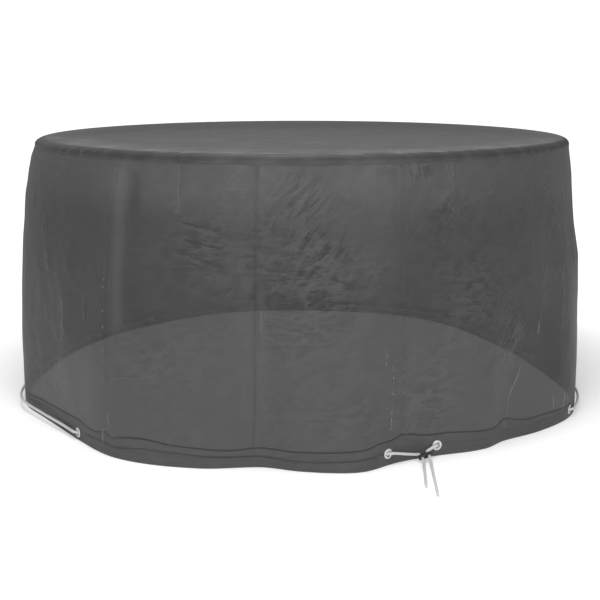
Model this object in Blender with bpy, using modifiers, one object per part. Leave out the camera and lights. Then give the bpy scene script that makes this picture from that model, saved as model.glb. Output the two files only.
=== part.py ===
"""Fitted cover for a round patio dining set, in the shape in which it hangs.

A disc top turns down into a rim band, a draped side wall ends in a deep hem, and
a drawcord runs in and out through eight pressed eyelets to a toggle with two free
ends. Metres, +Z up. The origin is the underside of the top at its centre, where
the cover is held up. Angles are in degrees from the front (-Y) towards +X, and
heights are measured up from the edge of the hem.
"""

import math
from collections import namedtuple

import bmesh
import bpy
from mathutils import Matrix, Vector

# Driving dimensions
DROP = 0.9175  # edge of the hem to the underside of the top
CLOTH = 0.0015  # single cloth
HEM_CLOTH = 0.0030  # folded and sewn hem
SEAM_CLOTH = 0.0022  # felled seam that closes the side wall
GAP = 0.0003  # between pieces that touch
LAP_GAP = 0.0006  # between the rim band and the wall under it
CROWN = 0.004  # rise of the top from its rim to its centre
RIM_HEIGHT = DROP + CLOTH - CROWN  # outer face of the top at its rim
BAND_DEPTH = 0.028  # turned-down rim, below the top's edge
SHOULDER_DEPTH = 0.022  # height of the rounded edge of the top
HEM_DEPTH = 0.060
HEM_STEP = 0.004  # height over which the hem thins to single cloth
FOLD_REACH = 0.70  # height at which the hem's folds have died out
COLUMN_STEP = 3.6  # widest column of the cloth, in degrees
EYELET_HALF_ANGLE = 1.15  # half of the flat column that holds an eyelet
SEAM_ANGLE = 1.5  # width of the wall's seam, in degrees
SEAM_SLACK = 0.01  # keeps the seam's own columns inside its limits, in degrees
FACING = 0.5  # half width over which the hem's facing is taken, in degrees

EYELET_HOLE = 0.0096  # radii
EYELET_BARREL = 0.0111
EYELET_FLANGE = 0.0158
EYELET_LIP = 0.0013  # thickness of each flange at its crest
EYELET_DRILL = 0.02  # length of the cut through the hem
EYELET_SIDES = 14
DRILL_SIDES = 16

CORD = 0.0090  # diameter
CORD_OFFSET = 0.0073  # centre line to the cloth's face along the hem
CORD_BEND = 0.0180  # bend radius at an eyelet
CORD_STEP = 2.8  # degrees between points along the hem
CORD_BOW = 0.012  # outward slack of a run outside the hem
RUN_MARGIN = 1.6  # from an eyelet to the start of a run, in degrees
TAIL_STEP = 0.0165  # spacing of points on the free ends

TOGGLE_ANGLE = 22.0
TOGGLE_OFFSET = 0.0265  # centre to the cloth's outer face
TOGGLE_HEIGHT = 0.0175
TOGGLE_LENGTH = 0.044
TOGGLE_WIDTH = 0.019
TOGGLE_THICK = 0.009
TOGGLE_TILT = 12.0  # right end up
TOGGLE_LEAN = 20.0  # its holes point outwards and down
TOGGLE_SPACING = 0.022
TOGGLE_HOLE = 0.0098  # diameter
TOGGLE_BEND = 0.0135
TOGGLE_END_ROUND = 0.0087  # radius of the toggle's ends, seen along its holes
TOGGLE_EDGE_PART = 0.25  # rounding of its faces' edges, as a part of that

# Outline of the rim: radius of the band and width of the rounded edge
RimRow = namedtuple("RimRow", "angle radius shoulder")
RIM = (
    RimRow(-160, 0.962, 0.024),
    RimRow(-118, 0.936, 0.034),
    RimRow(-75, 0.944, 0.045),
    RimRow(-46, 0.944, 0.032),
    RimRow(-20, 0.961, 0.022),
    RimRow(8, 0.961, 0.022),
    RimRow(34, 0.947, 0.022),
    RimRow(75, 0.954, 0.030),
    RimRow(112, 0.940, 0.028),
    RimRow(158, 0.964, 0.024),
)

# Outline of the hem: a row at each ridge, hollow and turn of its folds
HemRow = namedtuple("HemRow", "angle radius")
HEM = (
    HemRow(-178, 1.085),
    HemRow(-160, 1.098),
    HemRow(-145, 1.052),
    HemRow(-130, 1.022),
    HemRow(-110, 0.990),
    HemRow(-93, 0.984),
    HemRow(-80, 1.005),
    HemRow(-69, 1.027),
    HemRow(-59, 1.003),
    HemRow(-51, 1.001),
    HemRow(-43, 1.017),
    HemRow(-31.5, 1.052),
    HemRow(-17, 1.022),
    HemRow(-7, 0.975),
    HemRow(0, 1.002),
    HemRow(7.5, 1.024),
    HemRow(11, 1.020),
    HemRow(16, 0.981),
    HemRow(20, 0.966),
    HemRow(25.5, 0.966),
    HemRow(35, 0.993),
    HemRow(41, 0.981),
    HemRow(50, 1.012),
    HemRow(61, 1.039),
    HemRow(70, 1.022),
    HemRow(80, 0.978),
    HemRow(91, 0.936),
    HemRow(106, 0.924),
    HemRow(119, 0.942),
    HemRow(130, 0.986),
    HemRow(142, 1.050),
    HemRow(155, 1.085),
)

# How far the wall stands out from the rim above it, on the left and on the right
FlareRow = namedtuple("FlareRow", "height left right")
FLARE = (
    FlareRow(0.060, 0.078, 0.062),
    FlareRow(0.170, 0.077, 0.058),
    FlareRow(0.300, 0.067, 0.050),
    FlareRow(0.420, 0.060, 0.052),
    FlareRow(0.520, 0.055, 0.048),
    FlareRow(0.630, 0.046, 0.027),
    FlareRow(0.720, 0.038, 0.018),
    FlareRow(0.800, 0.025, 0.011),
    FlareRow(0.852, 0.014, 0.003),
    FlareRow(0.887, 0.000, 0.000),
)

# Long folds of the wall: where each starts and ends, its half width and its depth
FoldRow = namedtuple("FoldRow", "low_angle high_angle low high half_width depth")
FOLDS = (
    FoldRow(-35.5, -33.5, 0.16, 0.84, 3.2, 0.010),
    FoldRow(-6.5, -6.0, 0.07, 0.62, 3.4, -0.010),
    FoldRow(21.0, 19.5, 0.07, 0.66, 3.4, -0.008),
    FoldRow(59.0, 57.0, 0.07, 0.60, 5.0, 0.008),
    FoldRow(150.0, 147.0, 0.07, 0.60, 6.0, 0.010),
    FoldRow(-130.0, -133.0, 0.07, 0.66, 4.0, -0.009),
)

# Heights of the rows of the wall between the hem and the rim band
WALL_ROWS = (0.14, 0.22, 0.31, 0.41, 0.51, 0.61, 0.70, 0.78, 0.84, 0.880)
WALL_TOP_TURN = 30  # how far the wall goes up round the shoulder, under the top
SHOULDER_TURNS = (0, 30, 60, 90)
TOP_RING = 0.60  # radius of the top's inner ring, as a part of the rim's

# The eyelets in the order in which the drawcord passes them, from the toggle round
# the left. The cord is inside the hem after the first, outside after the second.
EyeletRow = namedtuple("EyeletRow", "name angle height")
EYELETS = (
    EyeletRow("eyelet_front_left_of_tie", 15.2, 0.037),
    EyeletRow("eyelet_left_front", -43.8, 0.025),
    EyeletRow("eyelet_left_rear", -81.0, 0.032),
    EyeletRow("eyelet_rear_left", -139.0, 0.032),
    EyeletRow("eyelet_rear", -187.0, 0.032),
    EyeletRow("eyelet_right_rear", -263.0, 0.032),
    EyeletRow("eyelet_right_front", -299.4, 0.027),
    EyeletRow("eyelet_front_right_of_tie", -334.7, 0.034),
)

# Routes of the free ends after the toggle, as (x, y, height)
LEFT_END = (
    (0.3655, -0.9345, 0.0112),
    (0.3655, -0.9450, 0.0063),
    (0.3648, -0.9570, 0.0047),
    (0.3635, -0.9720, 0.0046),
    (0.3598, -1.0230, 0.0046),
    (0.3556, -1.0770, 0.0046),
    (0.3516, -1.1230, 0.0046),
)
RIGHT_END = (
    (0.3850, -0.9280, 0.0150),
    (0.3862, -0.9400, 0.0088),
    (0.3868, -0.9520, 0.0056),
    (0.3865, -0.9650, 0.0046),
    (0.3846, -1.0050, 0.0046),
    (0.3818, -1.0720, 0.0046),
    (0.3795, -1.1310, 0.0046),
    (0.3767, -1.1840, 0.0046),
)

Paint = namedtuple("Paint", "colour roughness metallic")
CLOTH_PAINT = Paint((0.075, 0.075, 0.077), 0.45, 0.0)
EYELET_PAINT = Paint((0.80, 0.80, 0.80), 0.30, 0.9)
CORD_PAINT = Paint((0.85, 0.85, 0.84), 0.75, 0.0)
TOGGLE_PAINT = Paint((0.015, 0.015, 0.016), 0.40, 0.0)


def level(height):
    """Z of a height above the edge of the hem."""
    return height - DROP


def polar(angle, radius, height):
    turn = math.radians(angle)
    return Vector((radius * math.sin(turn), -radius * math.cos(turn), level(height)))


def blend(a, b, part):
    return a + (b - a) * part


def smooth(part):
    part = min(max(part, 0.0), 1.0)
    return part * part * (3 - 2 * part)


def hermite(x0, y0, m0, x1, y1, m1, x):
    width = x1 - x0
    t = (x - x0) / width
    rise = (2 * t**3 - 3 * t**2 + 1) * y0 + (3 * t**2 - 2 * t**3) * y1
    return rise + width * ((t**3 - 2 * t**2 + t) * m0 + (t**3 - t**2) * m1)


def round_value(rows, column, angle):
    """A column of a table with an angle in each row, as a smooth curve all the way round."""
    rows = sorted(rows, key=lambda row: row.angle)
    count = len(rows)
    knots = [
        (rows[i % count].angle + 360 * (i // count), getattr(rows[i % count], column))
        for i in range(-2, count + 2)
    ]
    first = knots[1][0]
    angle = first + (angle - first) % 360
    i = next(i for i in range(1, len(knots) - 1) if angle <= knots[i + 1][0])

    def slope(k):
        return (knots[k + 1][1] - knots[k - 1][1]) / (knots[k + 1][0] - knots[k - 1][0])

    (x0, y0), (x1, y1) = knots[i], knots[i + 1]
    return hermite(x0, y0, slope(i), x1, y1, slope(i + 1), angle)


def flare(angle, height):
    """How far the wall stands out from the rim at this height."""
    right = 0.5 + 0.5 * math.sin(math.radians(angle))
    value = [blend(row.left, row.right, right) for row in FLARE]
    if height <= FLARE[0].height:
        return value[0]
    for low, high, a, b in zip(FLARE, FLARE[1:], value, value[1:]):
        if height <= high.height:
            return blend(a, b, (height - low.height) / (high.height - low.height))
    return value[-1]


def fold(angle, height):
    """What the long folds add to the wall's radius."""
    total = 0.0
    for row in FOLDS:
        part = (height - row.low) / (row.high - row.low)
        if 0 < part < 1:
            centre = blend(row.low_angle, row.high_angle, part)
            away = (angle - centre + 180) % 360 - 180
            crest = math.sin(math.pi * part) ** 0.7
            total += row.depth * crest * math.exp(-((away / row.half_width) ** 2))
    return total


def wall_radius(angle, height):
    """Radius of the wall's outer face, from the hem up to the rim band."""
    hem = round_value(HEM, "radius", angle)
    body = round_value(RIM, "radius", angle) + flare(angle, height)
    part = smooth((height - HEM_DEPTH - HEM_STEP) / (FOLD_REACH - HEM_DEPTH))
    return blend(hem, body, part) + fold(angle, height)


def shoulder_point(angle, turn, inset):
    """A point of the rounded edge: turn 0 is upright cloth and turn 90 the flat top."""
    radius = round_value(RIM, "radius", angle)
    width = round_value(RIM, "shoulder", angle)
    turn = math.radians(turn)
    return (
        radius - width + (width - inset) * math.cos(turn),
        RIM_HEIGHT - SHOULDER_DEPTH + (SHOULDER_DEPTH - inset) * math.sin(turn),
    )


def column_angles():
    """Angles of the cloth's columns: one flat column at each eyelet and at the seam."""
    fixed = []
    for eyelet in EYELETS:
        fixed += [eyelet.angle - EYELET_HALF_ANGLE, eyelet.angle + EYELET_HALF_ANGLE]
    fixed.append(EYELETS[0].angle + EYELET_HALF_ANGLE + SEAM_ANGLE)
    fixed = sorted(angle % 360 for angle in fixed)
    angles = []
    for start, end in zip(fixed, fixed[1:] + [fixed[0] + 360]):
        parts = math.ceil((end - start) / COLUMN_STEP)
        angles += [blend(start, end, i / parts) % 360 for i in range(parts)]
    return angles


def cloth_object(name, angles, rows, thickness, close=False):
    """A sheet whose rows are functions from an angle to (radius, height), made solid.

    The outer face is the one that the rows give, and each row's weight scales the
    thickness. With close set, the last row is filled and its centre raised.
    """
    shell = bmesh.new()
    ring = bmesh.ops.create_circle(shell, segments=len(angles), radius=1.0)["verts"]
    weights = {}
    for number, (place, weight) in enumerate(rows):
        if number:
            edges = [edge for edge in shell.edges if all(vert in set(ring) for vert in edge.verts)]
            made = bmesh.ops.extrude_edge_only(shell, edges=edges)["geom"]
            ring = next_ring(ring, made)
        for angle, vert in zip(angles, ring):
            vert.co = polar(angle, *place(angle))
            weights[vert] = weight(angle) if callable(weight) else weight
    if close:
        edges = [edge for edge in shell.edges if all(vert in set(ring) for vert in edge.verts)]
        lid = bmesh.ops.contextual_create(shell, geom=edges)["faces"]
        centre = bmesh.ops.poke(shell, faces=lid)["verts"][0]
        centre.co = Vector((0, 0, level(DROP + CLOTH)))
        weights[centre] = 1.0
    bmesh.ops.recalc_face_normals(shell, faces=shell.faces)
    face = max(shell.faces, key=lambda item: item.calc_center_median().xy.length)
    centre = face.calc_center_median()
    if face.normal.dot(Vector((centre.x, centre.y, 0))) < 0:
        bmesh.ops.reverse_faces(shell, faces=shell.faces)
    shell.verts.index_update()
    by_index = {vert.index: weight for vert, weight in weights.items()}
    mesh = bpy.data.meshes.new(name)
    shell.to_mesh(mesh)
    shell.free()
    piece = bpy.data.objects.new(name, mesh)
    group = piece.vertex_groups.new(name="thickness")
    for index, weight in by_index.items():
        group.add([index], weight, "REPLACE")
    solidify = piece.modifiers.new("thickness", "SOLIDIFY")
    solidify.thickness = thickness
    solidify.offset = -1
    solidify.use_even_offset = True
    solidify.vertex_group = group.name
    return piece


def next_ring(ring, made):
    """The extruded vertices, in the order of the ring that they were extruded from."""
    verts = [item for item in made if isinstance(item, bmesh.types.BMVert)]
    return [min(verts, key=lambda new: (new.co - old.co).length) for old in ring]


def top_panel(angles):
    def band_edge(angle):
        return round_value(RIM, "radius", angle), RIM_HEIGHT - BAND_DEPTH

    def ring(angle):
        return TOP_RING * round_value(RIM, "radius", angle), DROP + CLOTH - CROWN * TOP_RING**2

    rows = [(band_edge, 1.0)]
    for turn in SHOULDER_TURNS:
        rows.append((lambda angle, turn=turn: shoulder_point(angle, turn, 0.0), 1.0))
    rows.append((ring, 1.0))
    return cloth_object("top_panel", angles, rows, CLOTH, close=True)


def side_wall(angles):
    seam_middle = EYELETS[0].angle + EYELET_HALF_ANGLE + SEAM_ANGLE / 2
    inset = CLOTH + LAP_GAP

    def single(angle):
        in_seam = abs(angle - seam_middle) <= SEAM_ANGLE / 2 + SEAM_SLACK
        return (SEAM_CLOTH if in_seam else CLOTH) / HEM_CLOTH

    def at(height):
        return lambda angle: (wall_radius(angle, height), height)

    def under_band(angle):
        return round_value(RIM, "radius", angle) - inset, RIM_HEIGHT - BAND_DEPTH

    rows = [(at(0.0), 1.0), (at(HEM_DEPTH), 1.0), (at(HEM_DEPTH + HEM_STEP), single)]
    rows += [(at(height), single) for height in WALL_ROWS]
    thin = CLOTH / HEM_CLOTH
    rows.append((under_band, thin))
    for turn in (0, WALL_TOP_TURN):
        rows.append((lambda angle, turn=turn: shoulder_point(angle, turn, inset), thin))
    return cloth_object("side_wall", angles, rows, HEM_CLOTH)


def eyelet_frame(eyelet):
    """Centre of the hem's cloth at an eyelet, with X along the hem and Z outwards."""
    before, after = (
        polar(angle, wall_radius(angle, 0.0), eyelet.height)
        for angle in (eyelet.angle - EYELET_HALF_ANGLE, eyelet.angle + EYELET_HALF_ANGLE)
    )
    along = (after - before).normalized()
    outwards = along.cross(Vector((0, 0, 1)))
    centre = (before + after) / 2 - outwards * HEM_CLOTH / 2
    frame = Matrix((along, outwards.cross(along), outwards)).transposed().to_4x4()
    frame.translation = centre
    return frame


def eyelet_mesh():
    """The pressed ring: a barrel with a rounded flange on each face of the cloth."""
    half_cloth = HEM_CLOTH / 2 + GAP
    crest = half_cloth + EYELET_LIP
    side = (
        (EYELET_HOLE, crest - 0.0007),
        (EYELET_HOLE + 0.0012, crest),
        (EYELET_FLANGE, half_cloth),
        (EYELET_BARREL, half_cloth),
    )
    outline = list(side) + [(radius, -across) for radius, across in reversed(side)]
    ring = bmesh.new()
    verts = [ring.verts.new((radius, 0, across)) for radius, across in outline]
    edges = [ring.edges.new(pair) for pair in zip(verts, verts[1:] + verts[:1])]
    bmesh.ops.spin(
        ring,
        geom=verts + edges,
        cent=(0, 0, 0),
        axis=(0, 0, 1),
        angle=math.tau,
        steps=EYELET_SIDES,
        use_merge=True,
    )
    bmesh.ops.remove_doubles(ring, verts=ring.verts, dist=1e-6)
    bmesh.ops.recalc_face_normals(ring, faces=ring.faces)
    mesh = bpy.data.meshes.new("eyelet")
    ring.to_mesh(mesh)
    ring.free()
    mesh.shade_smooth()
    return mesh


def drilled(piece, frames, radius, length, collection):
    """Cuts a hole along Z of each frame through the piece, whose flats touch the radius."""
    corners = radius / math.cos(math.pi / DRILL_SIDES)
    for number, frame in enumerate(frames):
        bpy.ops.mesh.primitive_cylinder_add(vertices=DRILL_SIDES, radius=corners, depth=length)
        cutter = bpy.context.object
        cutter.name = f"{piece.name}_drill_{number}"
        cutter.matrix_world = frame
        move_to(cutter, collection)
        cutter.hide_render = True
        cutter.display_type = "WIRE"
        cut = piece.modifiers.new(cutter.name, "BOOLEAN")
        cut.operation = "DIFFERENCE"
        cut.object = cutter


def hem_frame_point(angle, height, offset):
    """A point off the hem's outer face, square to the hem."""
    before, after = (
        polar(near, wall_radius(near, 0.0), height) for near in (angle - FACING, angle + FACING)
    )
    outwards = (after - before).normalized().cross(Vector((0, 0, 1)))
    return (before + after) / 2 + outwards * offset


def pass_through(eyelet, outside_after):
    """The cord's points through an eyelet, in the order of falling angle."""
    frame = eyelet_frame(eyelet)
    half_change = CORD_OFFSET + HEM_CLOTH / 2
    steep = math.acos(1 - half_change / CORD_BEND)
    reach = CORD_BEND * math.sin(steep)
    points = []
    for part in (-1, -0.75, -0.5, -0.25, 0, 0.25, 0.5, 0.75, 1):
        turn = steep * (1 - abs(part))
        travel = reach - CORD_BEND * math.sin(turn)
        across = half_change - CORD_BEND * (1 - math.cos(turn))
        side = math.copysign(1, part) * (1 if outside_after else -1)
        points.append(frame @ Vector((-math.copysign(travel, part), 0, side * across)))
    return points


def toggle_frame():
    """X along the toggle, Z along its holes, outwards and down."""
    centre = hem_frame_point(TOGGLE_ANGLE, TOGGLE_HEIGHT, TOGGLE_OFFSET)
    outwards = (centre - hem_frame_point(TOGGLE_ANGLE, TOGGLE_HEIGHT, 0.0)).normalized()
    up = Vector((0, 0, 1))
    along = up.cross(outwards)
    lean, tilt = math.radians(TOGGLE_LEAN), math.radians(TOGGLE_TILT)
    axis = outwards * math.cos(lean) - up * math.sin(lean)
    rise = axis.cross(along)
    along_tilted = along * math.cos(tilt) + rise * math.sin(tilt)
    frame = Matrix((along_tilted, axis.cross(along_tilted), axis)).transposed().to_4x4()
    frame.translation = centre
    return frame


def toggle_holes():
    """Frames of the toggle's left and right holes."""
    return [
        toggle_frame() @ Matrix.Translation((side * TOGGLE_SPACING / 2, 0, 0)) for side in (-1, 1)
    ]


def into_toggle(hole, side):
    """The cord's points from the hem into a hole, side -1 from the left."""
    turns = (0, 30, 60, 90)
    points = []
    for turn in map(math.radians, turns):
        along = side * TOGGLE_BEND * (1 - math.sin(turn))
        behind = -TOGGLE_THICK / 2 - TOGGLE_BEND * math.cos(turn)
        points.append(hole @ Vector((along, 0, behind)))
    points.append(hole @ Vector((0, 0, 0)))
    return points


def hem_run(first, second, outside):
    """The cord's points between two eyelets, beside the hem."""
    start, end = first.angle - RUN_MARGIN, second.angle + RUN_MARGIN
    count = round((start - end) / CORD_STEP)
    points = []
    for i in range(count + 1):
        part = i / count
        angle = blend(start, end, part)
        height = blend(first.height, second.height, part)
        bow = CORD_BOW * math.sin(math.pi * part) ** 2 if outside else 0.0
        offset = CORD_OFFSET + bow if outside else -HEM_CLOTH - CORD_OFFSET
        points.append(hem_frame_point(angle, height, offset))
    return points


def drawcord_route():
    left_hole, right_hole = toggle_holes()
    route = list(reversed(into_toggle(left_hole, -1)))
    outside = True
    for number, eyelet in enumerate(EYELETS):
        if number:
            route += hem_run(EYELETS[number - 1], eyelet, outside)
        outside = not outside
        route += pass_through(eyelet, outside)
    return route + into_toggle(right_hole, 1)


def curve_through(points, step):
    """Evenly spaced points on a smooth curve through the given ones."""
    fine = [points[0]]
    padded = [points[0] * 2 - points[1], *points, points[-1] * 2 - points[-2]]
    for a, b, c, d in zip(padded, padded[1:], padded[2:], padded[3:]):
        for i in range(1, 21):
            t = i / 20
            fine.append(
                0.5
                * (
                    2 * b
                    + (c - a) * t
                    + (2 * a - 5 * b + 4 * c - d) * t**2
                    + (3 * b - a - 3 * c + d) * t**3
                )
            )
    reached = [0.0]
    for a, b in zip(fine, fine[1:]):
        reached.append(reached[-1] + (b - a).length)
    count = math.ceil(reached[-1] / step)
    spaced = []
    for i in range(count + 1):
        wanted = reached[-1] * i / count
        k = next((k for k in range(1, len(fine)) if reached[k] >= wanted), len(fine) - 1)
        part = (wanted - reached[k - 1]) / (reached[k] - reached[k - 1])
        spaced.append(fine[k - 1].lerp(fine[k], min(part, 1.0)))
    return spaced


def cord_object(name, points):
    curve = bpy.data.curves.new(name, "CURVE")
    curve.dimensions = "3D"
    curve.bevel_depth = CORD / 2
    curve.bevel_resolution = 2
    curve.use_fill_caps = True
    spline = curve.splines.new("POLY")
    spline.points.add(len(points) - 1)
    for place, point in zip(spline.points, points):
        place.co = (*point, 1.0)
    return bpy.data.objects.new(name, curve)


def tie_end(name, hole, route):
    start = hole @ Vector((0, 0, GAP))
    face = hole @ Vector((0, 0, TOGGLE_THICK / 2))
    beyond = hole @ Vector((0, 0, TOGGLE_THICK))
    on_floor = [Vector((x, y, level(height))) for x, y, height in route]
    return cord_object(name, [start, *curve_through([face, beyond, *on_floor], TAIL_STEP)])


def cord_toggle(collection):
    bpy.ops.mesh.primitive_cube_add(size=1.0)
    toggle = bpy.context.object
    toggle.name = "cord_toggle"
    toggle.data.transform(Matrix.Diagonal((TOGGLE_LENGTH, TOGGLE_WIDTH, TOGGLE_THICK, 1)))
    toggle.matrix_world = toggle_frame()
    weights = toggle.data.attributes.new("bevel_weight_edge", "FLOAT", "EDGE")
    for edge in toggle.data.edges:
        a, b = (toggle.data.vertices[index].co for index in edge.vertices)
        upright = abs(a.z - b.z) > TOGGLE_THICK / 2
        weights.data[edge.index].value = 1.0 if upright else TOGGLE_EDGE_PART
    bevel = toggle.modifiers.new("rounded", "BEVEL")
    bevel.limit_method = "WEIGHT"
    bevel.width = TOGGLE_END_ROUND
    bevel.segments = 3
    drilled(toggle, toggle_holes(), TOGGLE_HOLE / 2, TOGGLE_THICK * 2, collection)
    return toggle


def move_to(piece, collection):
    for old in list(piece.users_collection):
        old.objects.unlink(piece)
    collection.objects.link(piece)


def paint(piece, name, finish):
    material = bpy.data.materials.get(name) or bpy.data.materials.new(name)
    material.use_nodes = True
    shader = material.node_tree.nodes["Principled BSDF"]
    shader.inputs["Base Color"].default_value = (*finish.colour, 1.0)
    shader.inputs["Roughness"].default_value = finish.roughness
    shader.inputs["Metallic"].default_value = finish.metallic
    material.diffuse_color = (*finish.colour, 1.0)
    piece.data.materials.clear()
    piece.data.materials.append(material)


def new_collection(name):
    collection = bpy.data.collections.new(name)
    bpy.context.scene.collection.children.link(collection)
    return collection


def build():
    for old in list(bpy.data.objects):
        bpy.data.objects.remove(old, do_unlink=True)
    cover = new_collection("round_patio_furniture_cover")
    cutters = new_collection("cutters")
    cutters.hide_render = True
    angles = column_angles()

    top = top_panel(angles)
    wall = side_wall(angles)
    for piece in (top, wall):
        move_to(piece, cover)
        paint(piece, "cover_cloth", CLOTH_PAINT)
    frames = [eyelet_frame(eyelet) for eyelet in EYELETS]
    drilled(wall, frames, EYELET_BARREL + GAP, EYELET_DRILL, cutters)

    ring = eyelet_mesh()
    for eyelet, frame in zip(EYELETS, frames):
        piece = bpy.data.objects.new(eyelet.name, ring)
        piece.matrix_world = frame
        move_to(piece, cover)
        paint(piece, "eyelet_metal", EYELET_PAINT)

    left_hole, right_hole = toggle_holes()
    for piece in (
        cord_object("drawcord", drawcord_route()),
        tie_end("tie_end_left", left_hole, LEFT_END),
        tie_end("tie_end_right", right_hole, RIGHT_END),
    ):
        move_to(piece, cover)
        paint(piece, "drawcord", CORD_PAINT)

    toggle = cord_toggle(cutters)
    move_to(toggle, cover)
    paint(toggle, "toggle_plastic", TOGGLE_PAINT)


build()
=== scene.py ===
"""Looks of the round patio furniture cover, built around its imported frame.

Angles are in degrees from the front (-Y) towards +X. Heights are in metres, up from
the edge of the hem. Each piece of cloth carries a UV map named "drape", whose u is
the angle in radians and whose v is the height, so a crease keeps its place on it.
"""

import sys
import logging
import math
from bisect import bisect_right
from dataclasses import dataclass, field
from enum import Enum
from functools import lru_cache
from typing import Callable, Iterable, NamedTuple, Sequence

import bmesh
import bpy
from bmesh.types import BMesh
from bpy.types import Material, Mesh, Node, NodeSocket, NodeTree, Object
from mathutils import Matrix, Vector, noise


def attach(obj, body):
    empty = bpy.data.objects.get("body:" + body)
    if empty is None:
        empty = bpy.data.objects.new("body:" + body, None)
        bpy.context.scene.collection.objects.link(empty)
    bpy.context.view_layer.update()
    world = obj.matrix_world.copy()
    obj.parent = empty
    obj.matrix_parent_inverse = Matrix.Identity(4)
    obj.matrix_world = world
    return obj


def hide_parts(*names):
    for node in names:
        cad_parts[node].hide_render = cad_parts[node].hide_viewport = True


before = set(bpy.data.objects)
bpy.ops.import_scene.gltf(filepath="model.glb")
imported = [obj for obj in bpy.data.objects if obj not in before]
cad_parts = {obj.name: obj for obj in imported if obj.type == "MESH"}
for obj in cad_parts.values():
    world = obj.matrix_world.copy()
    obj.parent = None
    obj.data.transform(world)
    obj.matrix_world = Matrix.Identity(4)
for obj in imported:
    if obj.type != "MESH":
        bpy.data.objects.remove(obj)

log = logging.getLogger("cover")

Route = list[Vector]
Pair = tuple[float, float]
Spot = tuple[float, float, float]
Colour = tuple[float, float, float]

UP = Vector((0, 0, 1))
DROP = 0.9175
CLOTH = 0.0010
HEM_CLOTH = 0.0030
TOP_FACE = DROP + 0.0015
DISH = 0.004
RIM_HEIGHT = TOP_FACE - DISH
BAND_DEPTH = 0.028
SHOULDER_DEPTH = 0.022
SHOULDER_FOOT = RIM_HEIGHT - SHOULDER_DEPTH
CORD = 0.0090

# Degrees each way over which the hem's run is read, and over which a crease is looked for
HALF_STEP, EYELET_HALF_ANGLE, REACH, BIN = 0.5, 1.15, 8.0, 3.0
HEM_DEPTH, HEM_STEP, FOLD_REACH = 0.060, 0.004, 0.70
# A gap that no sewn or pressed line of the cloth is wide enough to show at
FAR = 0.05


class Slot(Enum):
    """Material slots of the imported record."""

    CLOTH = "cover_cloth"
    METAL = "eyelet_metal"
    BRAID = "cord_braid"
    PLASTIC = "toggle_plastic"


class RimRow(NamedTuple):
    """Radius of the rim and width of its rounded edge at an angle."""

    angle: float
    radius: float
    shoulder: float


class HemRow(NamedTuple):
    """Radius of the hem at an angle."""

    angle: float
    radius: float


class FlareRow(NamedTuple):
    """How far the wall stands out from the rim, on the left and on the right."""

    height: float
    left: float
    right: float


class FoldRow(NamedTuple):
    """A long fold of the wall: its ends, its half width and its depth."""

    low_angle: float
    high_angle: float
    low: float
    high: float
    half_width: float
    depth: float


class EyeletRow(NamedTuple):
    """An eyelet's name and place."""

    name: str
    angle: float
    height: float


def table(kind: type, *rows: tuple) -> tuple:
    """Rows of a table, each as its own named kind."""
    return tuple(kind(*row) for row in rows)


RIM = table(
    RimRow,
    (-160, 0.962, 0.024), (-118, 0.936, 0.034), (-75, 0.944, 0.045), (-46, 0.944, 0.032),
    (-20, 0.961, 0.022), (8, 0.961, 0.022), (34, 0.947, 0.022), (75, 0.954, 0.030),
    (112, 0.940, 0.028), (158, 0.964, 0.024),
)
HEM = table(
    HemRow,
    (-178, 1.085), (-160, 1.098), (-145, 1.052), (-130, 1.022), (-110, 0.990), (-93, 0.984),
    (-80, 1.005), (-69, 1.027), (-59, 1.003), (-51, 1.001), (-43, 1.017), (-31.5, 1.052),
    (-17, 1.022), (-7, 0.975), (0, 1.002), (7.5, 1.024), (11, 1.020), (16, 0.981), (20, 0.966),
    (25.5, 0.966), (35, 0.993), (41, 0.981), (50, 1.012), (61, 1.039), (70, 1.022), (80, 0.978),
    (91, 0.936), (106, 0.924), (119, 0.942), (130, 0.986), (142, 1.050), (155, 1.085),
)
FLARE = table(
    FlareRow,
    (0.060, 0.078, 0.062), (0.170, 0.077, 0.058), (0.300, 0.067, 0.050), (0.420, 0.060, 0.052),
    (0.520, 0.055, 0.048), (0.630, 0.046, 0.027), (0.720, 0.038, 0.018), (0.800, 0.025, 0.011),
    (0.852, 0.014, 0.003), (0.887, 0.000, 0.000),
)
FOLDS = table(
    FoldRow,
    (-35.5, -33.5, 0.16, 0.84, 3.2, 0.010), (-6.5, -6.0, 0.07, 0.62, 3.4, -0.010),
    (21.0, 19.5, 0.07, 0.66, 3.4, -0.008), (59.0, 57.0, 0.07, 0.60, 5.0, 0.008),
    (150.0, 147.0, 0.07, 0.60, 6.0, 0.010), (-130.0, -133.0, 0.07, 0.66, 4.0, -0.009),
)
EYELETS = table(
    EyeletRow,
    ("eyelet_front_left_of_tie", 15.2, 0.037), ("eyelet_left_front", -43.8, 0.025),
    ("eyelet_left_rear", -81.0, 0.032), ("eyelet_rear_left", -139.0, 0.032),
    ("eyelet_rear", -187.0, 0.032), ("eyelet_right_rear", -263.0, 0.032),
    ("eyelet_right_front", -299.4, 0.027), ("eyelet_front_right_of_tie", -334.7, 0.034),
)


class LineRow(NamedTuple):
    """A point of a line sewn or pressed round the cloth."""

    angle: float
    height: float


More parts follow.
